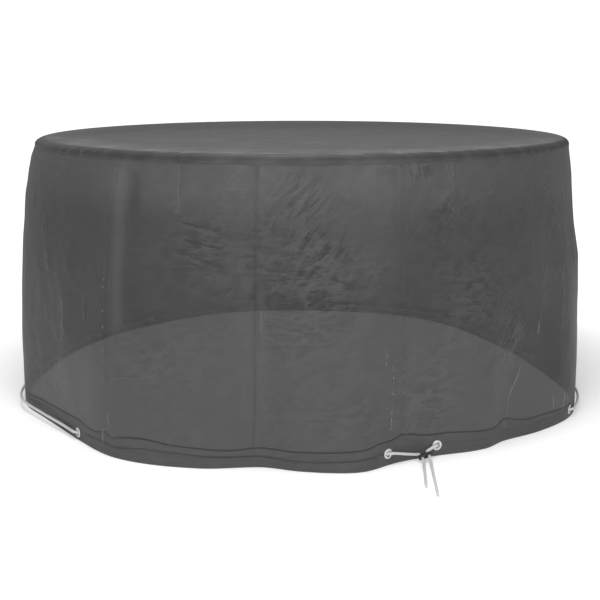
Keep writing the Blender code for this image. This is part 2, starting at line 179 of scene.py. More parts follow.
# The hem's seam, which rides up and down as the cloth was turned
HEM_LINE = table(
    LineRow,
    (-172, 0.060), (-140, 0.064), (-108, 0.058), (-80, 0.062), (-66, 0.056), (-60, 0.062),
    (-49.4, 0.067), (-43.2, 0.070), (-39.4, 0.061), (-36.4, 0.066), (-34.6, 0.075), (-32.7, 0.062),
    (-30.3, 0.073), (-26.0, 0.078), (-21.7, 0.068), (-16.7, 0.062), (-11.8, 0.055), (-7.3, 0.061),
    (-1.4, 0.059), (1.6, 0.061), (6.0, 0.064), (11.4, 0.069), (13.4, 0.078), (15.5, 0.074),
    (18.0, 0.086), (23.3, 0.072), (28.0, 0.071), (33.0, 0.064), (38.3, 0.060), (39.7, 0.069),
    (40.8, 0.077), (45.2, 0.057), (52.0, 0.055), (58.1, 0.050), (75, 0.056), (104, 0.063),
    (136, 0.059), (162, 0.062),
)
# Where the cord inside the hem presses on it
CORD_LINE = table(
    LineRow,
    (-41.5, 0.033), (-38.0, 0.039), (-35.3, 0.041), (-32.2, 0.034), (-29.0, 0.042), (-25.6, 0.047),
    (-19.8, 0.043), (-14.8, 0.037), (-11.1, 0.034), (-7.6, 0.036), (-4.0, 0.032), (-0.4, 0.030),
    (3.1, 0.032), (11.5, 0.038), (13.4, 0.036),
)
# The felled seam of the side wall, from the hem up
SEAM_LINE = (
    (0.000, 18.9), (0.035, 18.8), (0.108, 18.4), (0.200, 18.1), (0.356, 17.7), (0.448, 17.2),
    (0.645, 17.0), (0.785, 17.2), (0.900, 17.4),
)


class CreaseRow(NamedTuple):
    """A crease from one (angle, height) to another.

    Depth is metres out of the cloth. Light is how much painted highlight lies along its
    edge, or painted shade below zero. Dashes is the part of its length that is broken away.
    """

    angle0: float
    height0: float
    angle1: float
    height1: float
    half_width: float
    depth: float
    light: float
    dashes: float


CREASES = table(
    CreaseRow,
    # the broad fold on the left, its sharp edge and its foot
    (-34.6, 0.86, -34.5, 0.56, 0.014, 0.0024, 0.07, 0.55),
    (-34.6, 0.560, -33.8, 0.232, 0.010, 0.0034, 0.75, 0.80),
    (-34.0, 0.234, -29.7, 0.259, 0.011, 0.0022, 0.16, 0.35),
    (-29.7, 0.259, -25.6, 0.268, 0.013, 0.0018, 0.06, 0.35),
    (-31.6, 0.84, -30.4, 0.27, 0.034, 0.0030, 0.04, 0.00),
    (-33.5, 0.128, -33.4, 0.106, 0.006, 0.0012, 0.30, 0.30),
    (-34.9, 0.072, -35.0, 0.046, 0.006, 0.0008, 0.55, 0.20),
    # the deep fold left of the middle, and the thin light line beside it
    (-7.2, 0.886, -7.2, 0.653, 0.013, -0.0026, -0.12, 0.10),
    (-7.2, 0.653, -7.7, 0.266, 0.014, -0.0038, -0.28, 0.00),
    (-7.7, 0.266, -8.1, 0.064, 0.011, -0.0034, -0.36, 0.00),
    (-6.3, 0.600, -6.8, 0.090, 0.006, 0.0012, 0.13, 0.40),
    # short breaks in the film, left
    (-48.0, 0.462, -47.5, 0.345, 0.006, 0.0016, 0.40, 0.70),
    (-40.3, 0.473, -40.2, 0.405, 0.006, 0.0016, 0.35, 0.65),
    (-39.4, 0.316, -36.8, 0.352, 0.008, 0.0012, 0.08, 0.40),
    (-20.8, 0.894, -20.4, 0.742, 0.007, -0.0022, 0.10, 0.45),
    (-30.9, 0.430, -29.0, 0.396, 0.008, 0.0012, 0.09, 0.45),
    (-19.6, 0.723, -13.8, 0.702, 0.009, -0.0016, -0.42, 0.30),
    (-19.2, 0.672, -13.6, 0.655, 0.009, -0.0016, -0.46, 0.30),
    (-19.4, 0.634, -12.8, 0.599, 0.009, -0.0014, -0.38, 0.30),
    (-55.5, 0.700, -53.5, 0.520, 0.014, 0.0016, 0.03, 0.40),
    # right of the middle: the dashed line beside the seam
    (14.4, 0.346, 14.3, 0.320, 0.006, 0.0010, 0.40, 0.58),
    (15.8, 0.300, 15.8, 0.205, 0.006, 0.0012, 0.50, 0.64),
    (15.7, 0.160, 15.7, 0.112, 0.006, 0.0012, 0.55, 0.60),
    (17.7, 0.350, 18.2, 0.215, 0.006, 0.0010, 0.14, 0.50),
    (18.2, 0.215, 19.1, 0.085, 0.006, 0.0010, 0.28, 0.60),
    (27.5, 0.890, 26.7, 0.700, 0.006, 0.0014, 0.26, 0.72),
    (26.7, 0.660, 26.2, 0.560, 0.009, 0.0012, 0.05, 0.50),
    (23.8, 0.777, 27.2, 0.812, 0.008, 0.0014, 0.08, 0.35),
    (21.3, 0.767, 25.2, 0.757, 0.009, 0.0014, 0.06, 0.35),
    (29.4, 0.768, 36.2, 0.793, 0.009, 0.0014, 0.05, 0.40),
    (28.4, 0.502, 37.5, 0.375, 0.010, 0.0014, 0.05, 0.45),
    (33.0, 0.560, 39.5, 0.470, 0.010, 0.0012, 0.04, 0.45),
    # the slanting fold on the right
    (39.8, 0.263, 43.9, 0.366, 0.016, 0.0034, 0.10, 0.20),
    (38.6, 0.290, 42.0, 0.372, 0.012, 0.0022, 0.12, 0.30),
    (43.6, 0.225, 41.4, 0.147, 0.007, 0.0026, 0.55, 0.35),
    (41.4, 0.147, 40.7, 0.053, 0.007, 0.0016, 0.30, 0.55),
    (49.5, 0.560, 48.6, 0.330, 0.008, 0.0014, 0.12, 0.60),
    (48.4, 0.362, 48.3, 0.338, 0.006, 0.0014, 0.55, 0.20),
    (56.2, 0.500, 55.4, 0.330, 0.009, 0.0014, 0.08, 0.50),
    (53.5, 0.100, 53.7, 0.072, 0.006, 0.0010, 0.45, 0.35),
    (57.2, 0.098, 57.3, 0.070, 0.006, 0.0010, 0.40, 0.35),
    # threads of light down the right side
    (72.9, 0.706, 66.0, 0.543, 0.007, 0.0018, 0.50, 0.55),
    (66.0, 0.543, 64.0, 0.414, 0.007, 0.0014, 0.40, 0.60),
    (62.0, 0.792, 61.6, 0.597, 0.008, 0.0014, 0.22, 0.62),
    # the hidden side, plainly
    (92, 0.80, 88, 0.30, 0.012, 0.0025, 0.08, 0.50),
    (118, 0.70, 121, 0.20, 0.014, -0.0030, -0.10, 0.20),
    (150, 0.78, 147, 0.24, 0.012, 0.0028, 0.10, 0.50),
    (176, 0.84, 178, 0.30, 0.012, -0.0028, -0.10, 0.20),
    (-158, 0.80, -156, 0.30, 0.012, 0.0026, 0.10, 0.50),
    (-132, 0.74, -130, 0.22, 0.013, -0.0030, -0.14, 0.20),
    (-104, 0.80, -101, 0.34, 0.012, 0.0026, 0.10, 0.50),
    (-78, 0.76, -76, 0.26, 0.012, 0.0024, 0.10, 0.50),
    (136, 0.42, 141, 0.30, 0.009, 0.0016, 0.12, 0.45),
    (-146, 0.36, -141, 0.26, 0.009, 0.0016, 0.12, 0.45),
    (104, 0.55, 109, 0.47, 0.009, 0.0014, 0.10, 0.45),
)


class PatchRow(NamedTuple):
    """A patch of the film that is wrinkled more than the rest, and which way.

    Level, rising and upright are how strongly it is wrinkled along those ways.
    """

    angle: float
    height: float
    wide: float
    tall: float
    level: float
    rising: float
    upright: float


PLAIN_FILM = (0.25, 0.20, 0.08)
PATCHES = table(
    PatchRow,
    (0.4, 0.800, 4.5, 0.065, 0.0, 0.8, 0.0), (2.8, 0.655, 4.0, 0.075, 0.0, 0.9, 0.0),
    (-2.5, 0.590, 9.0, 0.130, 0.5, 0.2, 0.1), (4.7, 0.541, 6.0, 0.070, 0.5, 0.2, 0.0),
    (-16.2, 0.650, 5.0, 0.075, 0.6, 0.0, 0.0), (-0.1, 0.400, 6.0, 0.060, 0.5, 0.2, 0.0),
    (20.4, 0.870, 8.5, 0.040, 0.0, 0.0, 0.9), (28.0, 0.770, 7.0, 0.055, 0.2, 0.4, 0.0),
    (41.4, 0.320, 3.6, 0.075, 0.0, 0.9, 0.1), (23.6, 0.190, 4.5, 0.090, 0.8, 0.0, 0.0),
    (30.0, 0.480, 7.0, 0.120, 0.5, 0.2, 0.1), (10.0, 0.170, 9.0, 0.070, 0.3, 0.1, 0.0),
    (-26.0, 0.320, 7.0, 0.080, 0.3, 0.2, 0.0), (-45.0, 0.550, 8.0, 0.150, 0.2, 0.3, 0.1),
    (56.0, 0.600, 7.0, 0.200, 0.2, 0.3, 0.1), (100.0, 0.500, 14.0, 0.180, 0.4, 0.3, 0.1),
    (150.0, 0.600, 16.0, 0.160, 0.3, 0.4, 0.1), (-150.0, 0.450, 16.0, 0.200, 0.4, 0.3, 0.1),
    (-100.0, 0.600, 14.0, 0.160, 0.3, 0.4, 0.1),
)


class ShadeRow(NamedTuple):
    """A soft band of painted light on the film, or of painted shade below zero."""

    angle0: float
    height0: float
    angle1: float
    height1: float
    half_width: float
    light: float


SHADES = table(
    ShadeRow,
    (-32.6, 0.85, -31.6, 0.40, 0.018, 0.075), (-29.2, 0.84, -28.4, 0.40, 0.020, -0.08),
    (-41.0, 0.40, -38.0, 0.34, 0.060, -0.12), (60.0, 0.80, 66.0, 0.20, 0.050, 0.030),
    (-8.9, 0.66, -9.3, 0.10, 0.012, 0.020), (-6.4, 0.60, -6.6, 0.12, 0.010, 0.030),
    (19.8, 0.44, 20.2, 0.10, 0.010, 0.020), (51.0, 0.34, 54.0, 0.22, 0.050, -0.16),
    (40.6, 0.26, 43.0, 0.36, 0.022, 0.035), (24.0, 0.80, 33.0, 0.86, 0.050, 0.020),
    (24.0, 0.70, 22.0, 0.46, 0.050, -0.10), (100.0, 0.75, 103.0, 0.25, 0.040, 0.030),
    (165.0, 0.75, 160.0, 0.25, 0.050, 0.030), (-36.0, 0.82, -20.0, 0.80, 0.060, 0.030),
    (50.0, 0.62, 52.0, 0.44, 0.090, 0.030), (-125.0, 0.75, -121.0, 0.25, 0.045, 0.030),
)


def blend(a: float, b: float, part: float) -> float:
    """The value that lies part of the way from a to b."""
    return a + (b - a) * part


def smooth(part: float) -> float:
    """An easy rise from 0 to 1, held flat outside them."""
    part = min(max(part, 0.0), 1.0)
    return part * part * (3 - 2 * part)


def bell(away: float, width: float) -> float:
    """A soft bump, 1 in its middle, that fades over a width."""
    return math.exp(-((away / width) ** 2))


def apart(angle: float, other: float) -> float:
    """The short way round from one angle to another, in degrees."""
    return (angle - other + 180) % 360 - 180


def outwards(angle: float) -> Vector:
    """The level direction out from the middle at an angle."""
    turn = math.radians(angle)
    return Vector((math.sin(turn), -math.cos(turn), 0))


def polar(angle: float, radius: float, height: float) -> Vector:
    """The point at an angle, a radius and a height above the hem's edge."""
    turn = math.radians(angle)
    return Vector((radius * math.sin(turn), -radius * math.cos(turn), height - DROP))


def seat(run: Vector, out: Vector, centre: Vector) -> Matrix:
    """The frame at a centre with X along a run and Z outwards."""
    place = Matrix((run, out.cross(run), out)).transposed().to_4x4()
    place.translation = centre
    return place


def by_line(row: CreaseRow | ShadeRow, angle: float, height: float) -> tuple[float, float, float]:
    """Where a place lies by the straight line of a crease or of a band of shade.

    Args:
        row: The crease or the band.
        angle: Where round the wall.
        height: Above the edge of the hem.

    Returns:
        The part of the line's length, the way across it and the line's length.
    """
    du, dv = math.radians(apart(row.angle1, row.angle0)), row.height1 - row.height0
    pu, pv = math.radians(apart(angle, row.angle0)), height - row.height0
    length = math.hypot(du, dv)
    return (pu * du + pv * dv) / length**2, (pu * dv - pv * du) / length, length


class RoundTable:
    """A column of a table of angles, as one smooth curve all the way round."""

    def __init__(self, rows: Sequence[tuple], column: str) -> None:
        """Keeps the knots of one column.

        Args:
            rows: Rows with an angle and the named column.
            column: The column's name.
        """
        ordered = sorted(rows, key=lambda row: row.angle)
        count = len(ordered)
        self.knots = [
            (ordered[i % count].angle + 360 * (i // count), getattr(ordered[i % count], column))
            for i in range(-2, count + 2)
        ]
        self.starts = [knot[0] for knot in self.knots]

    def _slope(self, k: int) -> float:
        """Slope of the curve at a knot, from its neighbours."""
        (x0, y0), (x1, y1) = self.knots[k - 1], self.knots[k + 1]
        return (y1 - y0) / (x1 - x0)

    def at(self, angle: float) -> float:
        """The value at an angle.

        Args:
            angle: Where round the cover, in degrees.

        Returns:
            The curve's height there.
        """
        first = self.knots[1][0]
        angle = first + (angle - first) % 360
        i = max(1, bisect_right(self.starts, angle) - 1)
        if angle == self.starts[i] and i > 1:
            i -= 1
        (x0, y0), (x1, y1) = self.knots[i], self.knots[i + 1]
        width = x1 - x0
        t = (angle - x0) / width
        rise = (2 * t**3 - 3 * t**2 + 1) * y0 + (3 * t**2 - 2 * t**3) * y1
        lean = (t**3 - 2 * t**2 + t) * self._slope(i) + (t**3 - t**2) * self._slope(i + 1)
        return rise + width * lean


def along(rows: Sequence[Pair], x: float) -> float:
    """The value at x of a table of straight pieces, held level past its ends.

    Args:
        rows: Pairs of x and value, in rising order of x.
        x: Where it is read.

    Returns:
        The value there.
    """
    if x <= rows[0][0]:
        return rows[0][1]
    for (x0, y0), (x1, y1) in zip(rows, rows[1:]):
        if x <= x1:
            return blend(y0, y1, (x - x0) / (x1 - x0))
    return rows[-1][1]


@dataclass(frozen=True)
class CoverShape:
    """The shape in which the cover hangs, as the frame's solids have it."""

    rim: RoundTable = field(default_factory=lambda: RoundTable(RIM, "radius"))
    shoulder: RoundTable = field(default_factory=lambda: RoundTable(RIM, "shoulder"))
    hem: RoundTable = field(default_factory=lambda: RoundTable(HEM, "radius"))
    hem_line: RoundTable = field(default_factory=lambda: RoundTable(HEM_LINE, "height"))

    def flare(self, angle: float, height: float) -> float:
        """How far the wall stands out from the rim at a height."""
        right = 0.5 + 0.5 * math.sin(math.radians(angle))
        return along([(row.height, blend(row.left, row.right, right)) for row in FLARE], height)

    def fold(self, angle: float, height: float) -> float:
        """What the long folds add to the wall's radius.

        Args:
            angle: Where round the cover, in degrees.
            height: Above the edge of the hem.

        Returns:
            Metres outwards.
        """
        total = 0.0
        for row in FOLDS:
            part = (height - row.low) / (row.high - row.low)
            if 0 < part < 1:
                away = apart(angle, blend(row.low_angle, row.high_angle, part))
                total += row.depth * math.sin(math.pi * part) ** 0.7 * bell(away, row.half_width)
        return total

    def wall_radius(self, angle: float, height: float) -> float:
        """Radius of the wall's outer face, from the hem up to the rim band."""
        body = self.rim.at(angle) + self.flare(angle, height)
        part = smooth((height - HEM_DEPTH - HEM_STEP) / (FOLD_REACH - HEM_DEPTH))
        return blend(self.hem.at(angle), body, part) + self.fold(angle, height)

    def shoulder_point(self, angle: float, turn: float, inset: float) -> Pair:
        """A point of the rounded edge of the top.

        Args:
            angle: Where round the rim.
            turn: 0 on upright cloth and 90 on the flat top.
            inset: How far inside the outer face.

        Returns:
            Its radius and height.
        """
        width = self.shoulder.at(angle)
        turn = math.radians(turn)
        return (
            self.rim.at(angle) - width + (width - inset) * math.cos(turn),
            SHOULDER_FOOT + (SHOULDER_DEPTH - inset) * math.sin(turn),
        )

    def hem_ends(self, angle: float, height: float, half: float) -> tuple[Vector, Vector, Vector]:
        """Points of the hem on both sides of an angle, and the way from one to the other.

        Args:
            angle: Where round the cover, in degrees.
            height: Above the edge of the hem.
            half: How far each point is from the angle.

        Returns:
            Both points and the way.
        """
        before, after = (
            polar(near, self.wall_radius(near, 0.0), height) for near in (angle - half, angle + half)
        )
        return before, after, (after - before).normalized()

    def hem_point(self, angle: float, height: float, offset: float) -> Vector:
        """A point off the hem's outer face, square to the hem."""
        before, after, run = self.hem_ends(angle, height, HALF_STEP)
        return (before + after) / 2 + run.cross(UP) * offset

    def eyelet_frame(self, eyelet: EyeletRow) -> Matrix:
        """Middle of the hem's cloth at an eyelet, with X along the hem and Z outwards."""
        before, after, run = self.hem_ends(eyelet.angle, eyelet.height, EYELET_HALF_ANGLE)
        out = run.cross(UP)
        return seat(run, out, (before + after) / 2 - out * HEM_CLOTH / 2)


SHAPE = CoverShape()


@lru_cache(maxsize=None)
def eyelet_frames() -> tuple[Matrix, ...]:
    """Frames of the eight eyelets, in the order of EYELETS."""
    return tuple(SHAPE.eyelet_frame(eyelet) for eyelet in EYELETS)


def cord_gap(angle: float, height: float) -> float:
    """How far a place is above the line of the cord in the hem, or FAR past its ends."""
    if CORD_LINE[0].angle < angle < CORD_LINE[-1].angle:
        return height - along(CORD_LINE, angle)
    return FAR


def seam_gap(angle: float, height: float) -> float:
    """The way round from the felled seam to a place, in radians."""
    return math.radians(apart(angle, along(SEAM_LINE, height)))


@dataclass(frozen=True)
class Relief:
    """What the creases and the slack of the film add to the smooth folds."""

    sway: float = 0.0030
    ripple: float = 0.0011
    pucker: float = 0.0006
    seam_rise: float = 0.0003
    cord_rise: float = 0.0012
    sunk: float = 0.0009

    def crease(self, row: CreaseRow, angle: float, height: float) -> float:
        """How far one crease lifts the cloth at a place.

        Args:
            row: The crease.
            angle: Where round the cover, in degrees.
            height: Above the edge of the hem.

        Returns:
            Metres outwards.
        """
        part, across, _ = by_line(row, angle, height)
        if not -0.2 < part < 1.2:
            return 0.0
        across += 0.006 * noise.noise(Vector((row.angle0, 30 * height, 9 * math.radians(angle))))
        taper = smooth((part + 0.2) / 0.35) * smooth((1.2 - part) / 0.35)
        return row.depth * taper * bell(across, 1.6 * row.half_width)

    def slack(self, angle: float, height: float) -> float:
        """The uneven slack of the film away from its creases.

        Args:
            angle: Where round the cover, in degrees.
            height: Above the edge of the hem.

        Returns:
            Metres outwards.
        """
        ring = outwards(angle) * 2.2
        broad, tall, fine, small = (
            noise.noise(ring * scale + Vector((x, y, z)))
            for scale, x, y, z in (
                (1.3, 0, 0, 0.9 * height + 4.0),
                (4.0, 7.0, 0, 1.6 * height),
                (9.0, 0, 3.0, 11.0 * height),
                (17.0, 1.7, 0, 23.0 * height),
            )
        )
        return self.sway * (0.8 * broad + 0.9 * tall) + self.ripple * (fine + 0.6 * small)

    def at(self, angle: float, height: float) -> float:
        """How far the wall's outer face stands off its smooth shape, in metres.

        Args:
            angle: Where round the cover, in degrees.
            height: Above the edge of the hem.

        Returns:
            Metres outwards.
        """
        free = smooth((height - 0.055) / 0.10) * smooth((0.885 - height) / 0.07)
        total = free * self.slack(angle, height)
        creases = sum(self.crease(row, angle, height) for row in creases_near(angle))
        total += smooth((height - 0.05) / 0.03) * creases
        gap = height - SHAPE.hem_line.at(angle)
        wave = noise.noise(Vector((2.4 * angle, 0.0, 5.0)))
        total += self.pucker * wave * bell(gap, 0.016) - self.sunk * bell(gap + 0.003, 0.0035)
        total += self.seam_rise * smooth((0.0085 - abs(seam_gap(angle, height))) / 0.003)
        return total + self.cord_rise * bell(cord_gap(angle, height), 0.006)


RELIEF = Relief()


def by_angle() -> dict[int, list[CreaseRow]]:
    """The creases near each bin of angles, so that a place reads only its own.

    Returns:
        The creases by the number of the bin.
    """
    bins: dict[int, list[CreaseRow]] = {}
    for row in CREASES:
        low, high = sorted((0.0, apart(row.angle1, row.angle0)))
        first = math.floor((row.angle0 + low - REACH) / BIN)
        for number in range(first, math.floor((row.angle0 + high + REACH) / BIN) + 1):
            bins.setdefault(number % round(360 / BIN), []).append(row)
    return bins


CREASE_BINS = by_angle()


def creases_near(angle: float) -> Sequence[CreaseRow]:
    """The creases that come near an angle."""
    return CREASE_BINS.get(math.floor(angle / BIN) % round(360 / BIN), ())


@lru_cache(maxsize=None)
def wall_face(angle: float, height: float) -> float:
    """Radius of the wall's finished outer face."""
    return SHAPE.wall_radius(angle, height) + RELIEF.at(angle, height)


def flattened(point: Vector, offset: float) -> Vector:
    """The point, pressed flat where an eyelet clamps the hem.

    Args:
        point: A point of the hem.
        offset: How far it lies inside the hem's outer face.

    Returns:
        The point, moved into the eyelet's plane near it.
    """
    for place in eyelet_frames():
        away = place.inverted() @ point
        reach = math.hypot(away.x, away.y)
        if reach < 0.045 and abs(away.z) < 0.03:
            part = 1 - smooth((reach - 0.019) / 0.024)
            away.z = blend(away.z, HEM_CLOTH / 2 - offset, part)
            return place @ away
    return point


CLOTH_MARKS = ("crease_line", "crease_form", "sewn_gaps", "film_ways", "film_shade")


def crease_marks(angle: float, height: float) -> tuple[Vector, Vector]:
    """What the wall's cloth holds at a place about the crease that is nearest to it.

    Args:
        angle: Where round the wall.
        height: Above the edge of the hem.

    Returns:
        The way across and along the crease and its painted highlight, and its painted shade, dashes
        and lift.
    """
    best, line, form = 0.0, Vector((0.03, 0, 0)), Vector((0, 0, 0))
    for row in creases_near(angle):
        part, across, length = by_line(row, angle, height)
        past = max(0.0, -part, part - 1) * length
        near = (1 - smooth((abs(across) - 0.012) / 0.016)) * (1 - smooth((past - 0.004) / 0.012))
        if near * (0.3 + abs(row.light)) > best:
            best = near * (0.3 + abs(row.light))
            run = 0.37 * (row.angle0 + 180) + part * length
            # The line mark carries the crease's painted highlight, the form mark its painted shade
            line = Vector((across, run, near * max(row.light, 0.0)))
            lift = math.copysign(near, row.depth)
            form = Vector((near * max(-row.light, 0.0), row.dashes, lift))
    return line, form


def sewn_gaps(angle: float, height: float) -> Vector:
    """The way from a place of the wall to its hem seam, its felled seam and the cord's line.

    The hem's line is left off round the back, where it would show through as a stripe.

    Args:
        angle: Where round the cover, in degrees.
        height: Above the edge of the hem.

    Returns:
        The three gaps in metres.
    """
    gap = height - SHAPE.hem_line.at(angle)
    if abs(angle) > 95:
        gap = math.copysign(max(abs(gap), 0.006), gap)
    felled = min(max(seam_gap(angle, height), -FAR), FAR)
    return Vector((gap, felled, cord_gap(angle, height)))


def film_ways(angle: float, height: float) -> Vector:
    """How strongly the film is wrinkled at a place: level, rising and upright.

    Args:
        angle: Where round the cover, in degrees.
        height: Above the edge of the hem.

    Returns:
        The three strengths.
    """
    calm = smooth((-angle - 20) / 22) if angle < 0 else smooth((angle - 40) / 16)
    ways = Vector(PLAIN_FILM) * blend(1.0, 0.45, calm)
    for row in PATCHES:
        across, up = apart(angle, row.angle) / row.wide, (height - row.height) / row.tall
        reach = across * across + up * up
        if reach < 6:
            ways += Vector((row.level, row.rising, row.upright)) * math.exp(-reach)
    return ways


def film_shade(angle: float, height: float) -> Vector:
    """How much painted light, or painted shade below zero, lies on the film at a place, in each of
    its values.

    Args:
        angle: Where round the cover, in degrees.
        height: Above the edge of the hem.

    Returns:
        The shade, three times over.
    """
    # Painted light that grows towards the top of the wall
    total = 0.065 * smooth((height - 0.68) / 0.16)
    for row in SHADES:
        if abs(apart(angle, row.angle0)) < 24:
            part, across, length = by_line(row, angle, height)
            past = max(0.0, -part, part - 1) * length
            total += row.light * bell(math.hypot(across, past), row.half_width)
    return Vector((total, total, total))


def mark_cloth(piece: Object) -> None:
    """Writes the marks of the creases, sewn lines, wrinkles and bands of painted light and shade on
    the wall's vertices.

    Args:
        piece: The finished wall.
    """
    values: list[list[float]] = [[] for _ in CLOTH_MARKS]
    for vert in piece.data.vertices:
        at = math.degrees(math.atan2(vert.co.x, -vert.co.y)), vert.co.z + DROP
        marks = (*crease_marks(*at), sewn_gaps(*at), film_ways(*at), film_shade(*at))
        for kept, mark in zip(values, marks):
            kept.extend(mark)
    for name, kept in zip(CLOTH_MARKS, values):
        piece.data.attributes.new(name, "FLOAT_VECTOR", "POINT").data.foreach_set("vector", kept)


# ---------------------------------------------------------------- mesh helpers


def as_mesh(name: str, shape: BMesh) -> Mesh:
    """The mesh of a bmesh, which is freed.

    Args:
        name: The mesh's name.
        shape: The bmesh.

    Returns:
        The mesh.
    """
    mesh = bpy.data.meshes.new(name)
    shape.to_mesh(mesh)
    shape.free()
    return mesh


def new_piece(name: str, shape: BMesh, flat: bool = False) -> Object:
    """Makes an object of a bmesh, with smooth faces unless flat is set.

    Args:
        name: The piece's name.
        shape: Its bmesh, which is freed.
        flat: Whether its faces stay flat.

    Returns:
        The piece, in the scene.
    """
    mesh = as_mesh(name, shape)
    if not flat:
        mesh.shade_smooth()
    return hung(bpy.data.objects.new(name, mesh))


def hung(item: Object) -> Object:
    """Puts an object in the scene."""
    bpy.context.scene.collection.objects.link(item)
    return item


def mapped_grid(
    columns: int,
    rows: int,
    place: Callable[[int, int], Vector],
    chart: Callable[[int, int], Pair],
) -> BMesh:
    """A grid whose points are moved on to a surface and whose meeting edges are welded.

    Args:
        columns: Steps along the grid.
        rows: Steps across it.
        place: The point of a column and a row.
        chart: Its place on the UV map.

    Returns:
        The closed shape.
    """
    shape = bmesh.new()
    bmesh.ops.create_grid(shape, x_segments=columns, y_segments=rows, size=0.5)
    layer = shape.loops.layers.uv.new("drape")
    steps = {
        vert: (round((vert.co.x + 0.5) * columns), round((vert.co.y + 0.5) * rows))
        for vert in shape.verts
    }
    for face in shape.faces:
        for loop in face.loops:
            loop[layer].uv = chart(*steps[loop.vert])
    for vert, step in steps.items():
        vert.co = place(*step)
    closed(shape, 1e-7)
    return shape


def closed(shape: BMesh, weld: float) -> None:
    """Welds the points of a shape that meet and turns its faces outwards."""
    bmesh.ops.remove_doubles(shape, verts=shape.verts, dist=weld)
    bmesh.ops.recalc_face_normals(shape, faces=shape.faces)


def spun(ring: BMesh, steps: int) -> None:
    """Spins the outline in a bmesh once round Z into a closed ring.

    Args:
        ring: The bmesh with the outline.
        steps: Steps once round.
    """
    outline = ring.verts[:] + ring.edges[:]
    bmesh.ops.spin(
        ring,
        geom=outline,
        cent=(0, 0, 0),
        axis=(0, 0, 1),
        angle=math.tau,
        steps=steps,
        use_merge=True,
    )
    closed(ring, 1e-6)


def rounded(shape: BMesh, edges: list[bmesh.types.BMEdge], offset: float, segments: int) -> None:
    """Rounds some edges of a shape.

    Args:
        shape: The shape.
        edges: The edges to round.
        offset: How wide the round is.
        segments: Steps across it.
    """
    bmesh.ops.bevel(
        shape,
        geom=edges,
        offset=offset,
        segments=segments,
        profile=0.5,
        affect="EDGES",
        material=-1,
    )


def curve_through(points: Sequence[Vector], step: float) -> Route:
    """Evenly spaced points on a smooth curve through the given ones.

    Args:
        points: The points that the curve passes.
        step: The widest spacing of the result.

    Returns:
        The spaced points, the two ends among them.
    """
    fine = [points[0]]
    padded = [points[0] * 2 - points[1], *points, points[-1] * 2 - points[-2]]
    for a, b, c, d in zip(padded, padded[1:], padded[2:], padded[3:]):
        for i in range(1, 13):
            t = i / 12
            rise = 2 * b + (c - a) * t + (2 * a - 5 * b + 4 * c - d) * t**2
            fine.append(0.5 * (rise + (3 * b - a - 3 * c + d) * t**3))
    reached = [0.0]
    for a, b in zip(fine, fine[1:]):
        reached.append(reached[-1] + (b - a).length)
    count = math.ceil(reached[-1] / step)
    spaced = []
    for i in range(count + 1):
        wanted = reached[-1] * i / count
        k = min(max(bisect_right(reached, wanted), 1), len(fine) - 1)
        part = (wanted - reached[k - 1]) / (reached[k] - reached[k - 1])
        spaced.append(fine[k - 1].lerp(fine[k], min(part, 1.0)))
    return spaced


def run_length(route: Sequence[Vector]) -> float:
    """Length of a route."""
    return sum((b - a).length for a, b in zip(route, route[1:]))


def applied(piece: Object) -> None:
    """Turns a piece's modifiers and its place into its mesh.

    Args:
        piece: The piece.
    """
    bpy.context.view_layer.update()
    graph = bpy.context.evaluated_depsgraph_get()
    mesh = bpy.data.meshes.new_from_object(piece.evaluated_get(graph))
    mesh.transform(piece.matrix_world)
    old = piece.data
    piece.modifiers.clear()
    piece.data = mesh
    piece.matrix_world = Matrix.Identity(4)
    bpy.data.meshes.remove(old)


def drilled(
    piece: Object, frames: Iterable[Matrix], radius: float, length: float, sides: int
) -> None:
    """Cuts a round hole along Z of each frame through a piece.

    Args:
        piece: The piece to cut.
        frames: Places of the holes.
        radius: Radius of the holes.
        length: Length of each cut.
        sides: Sides of each hole.
    """
    holes = bmesh.new()
    size = {"radius1": radius, "radius2": radius, "depth": length, "segments": sides}
    for place in frames:
        bmesh.ops.create_cone(holes, cap_ends=True, matrix=place, **size)
    cutter = new_piece(piece.name + "_drill", holes)
    cut = piece.modifiers.new("holes", "BOOLEAN")
    cut.operation = "DIFFERENCE"
    cut.solver = "EXACT"
    cut.object = cutter
    applied(piece)
    bpy.data.objects.remove(cutter, do_unlink=True)


def finished(piece: Object, slot: Slot, paint: Material) -> Object:
    """Dresses a piece and seats it on the frame.

    Args:
        piece: The piece.
        slot: Not used.
        paint: Its material.

    Returns:
        The piece.
    """
    piece.data.materials.clear()
    piece.data.materials.append(paint)
    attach(piece, "root")
    piece.data.calc_loop_triangles()
    log.info("%s: %d triangles", piece.name, len(piece.data.loop_triangles))
    return piece


# ---------------------------------------------------------------- node helpers

FLOAT, VECTOR = "NodeSocketFloat", "NodeSocketVector"


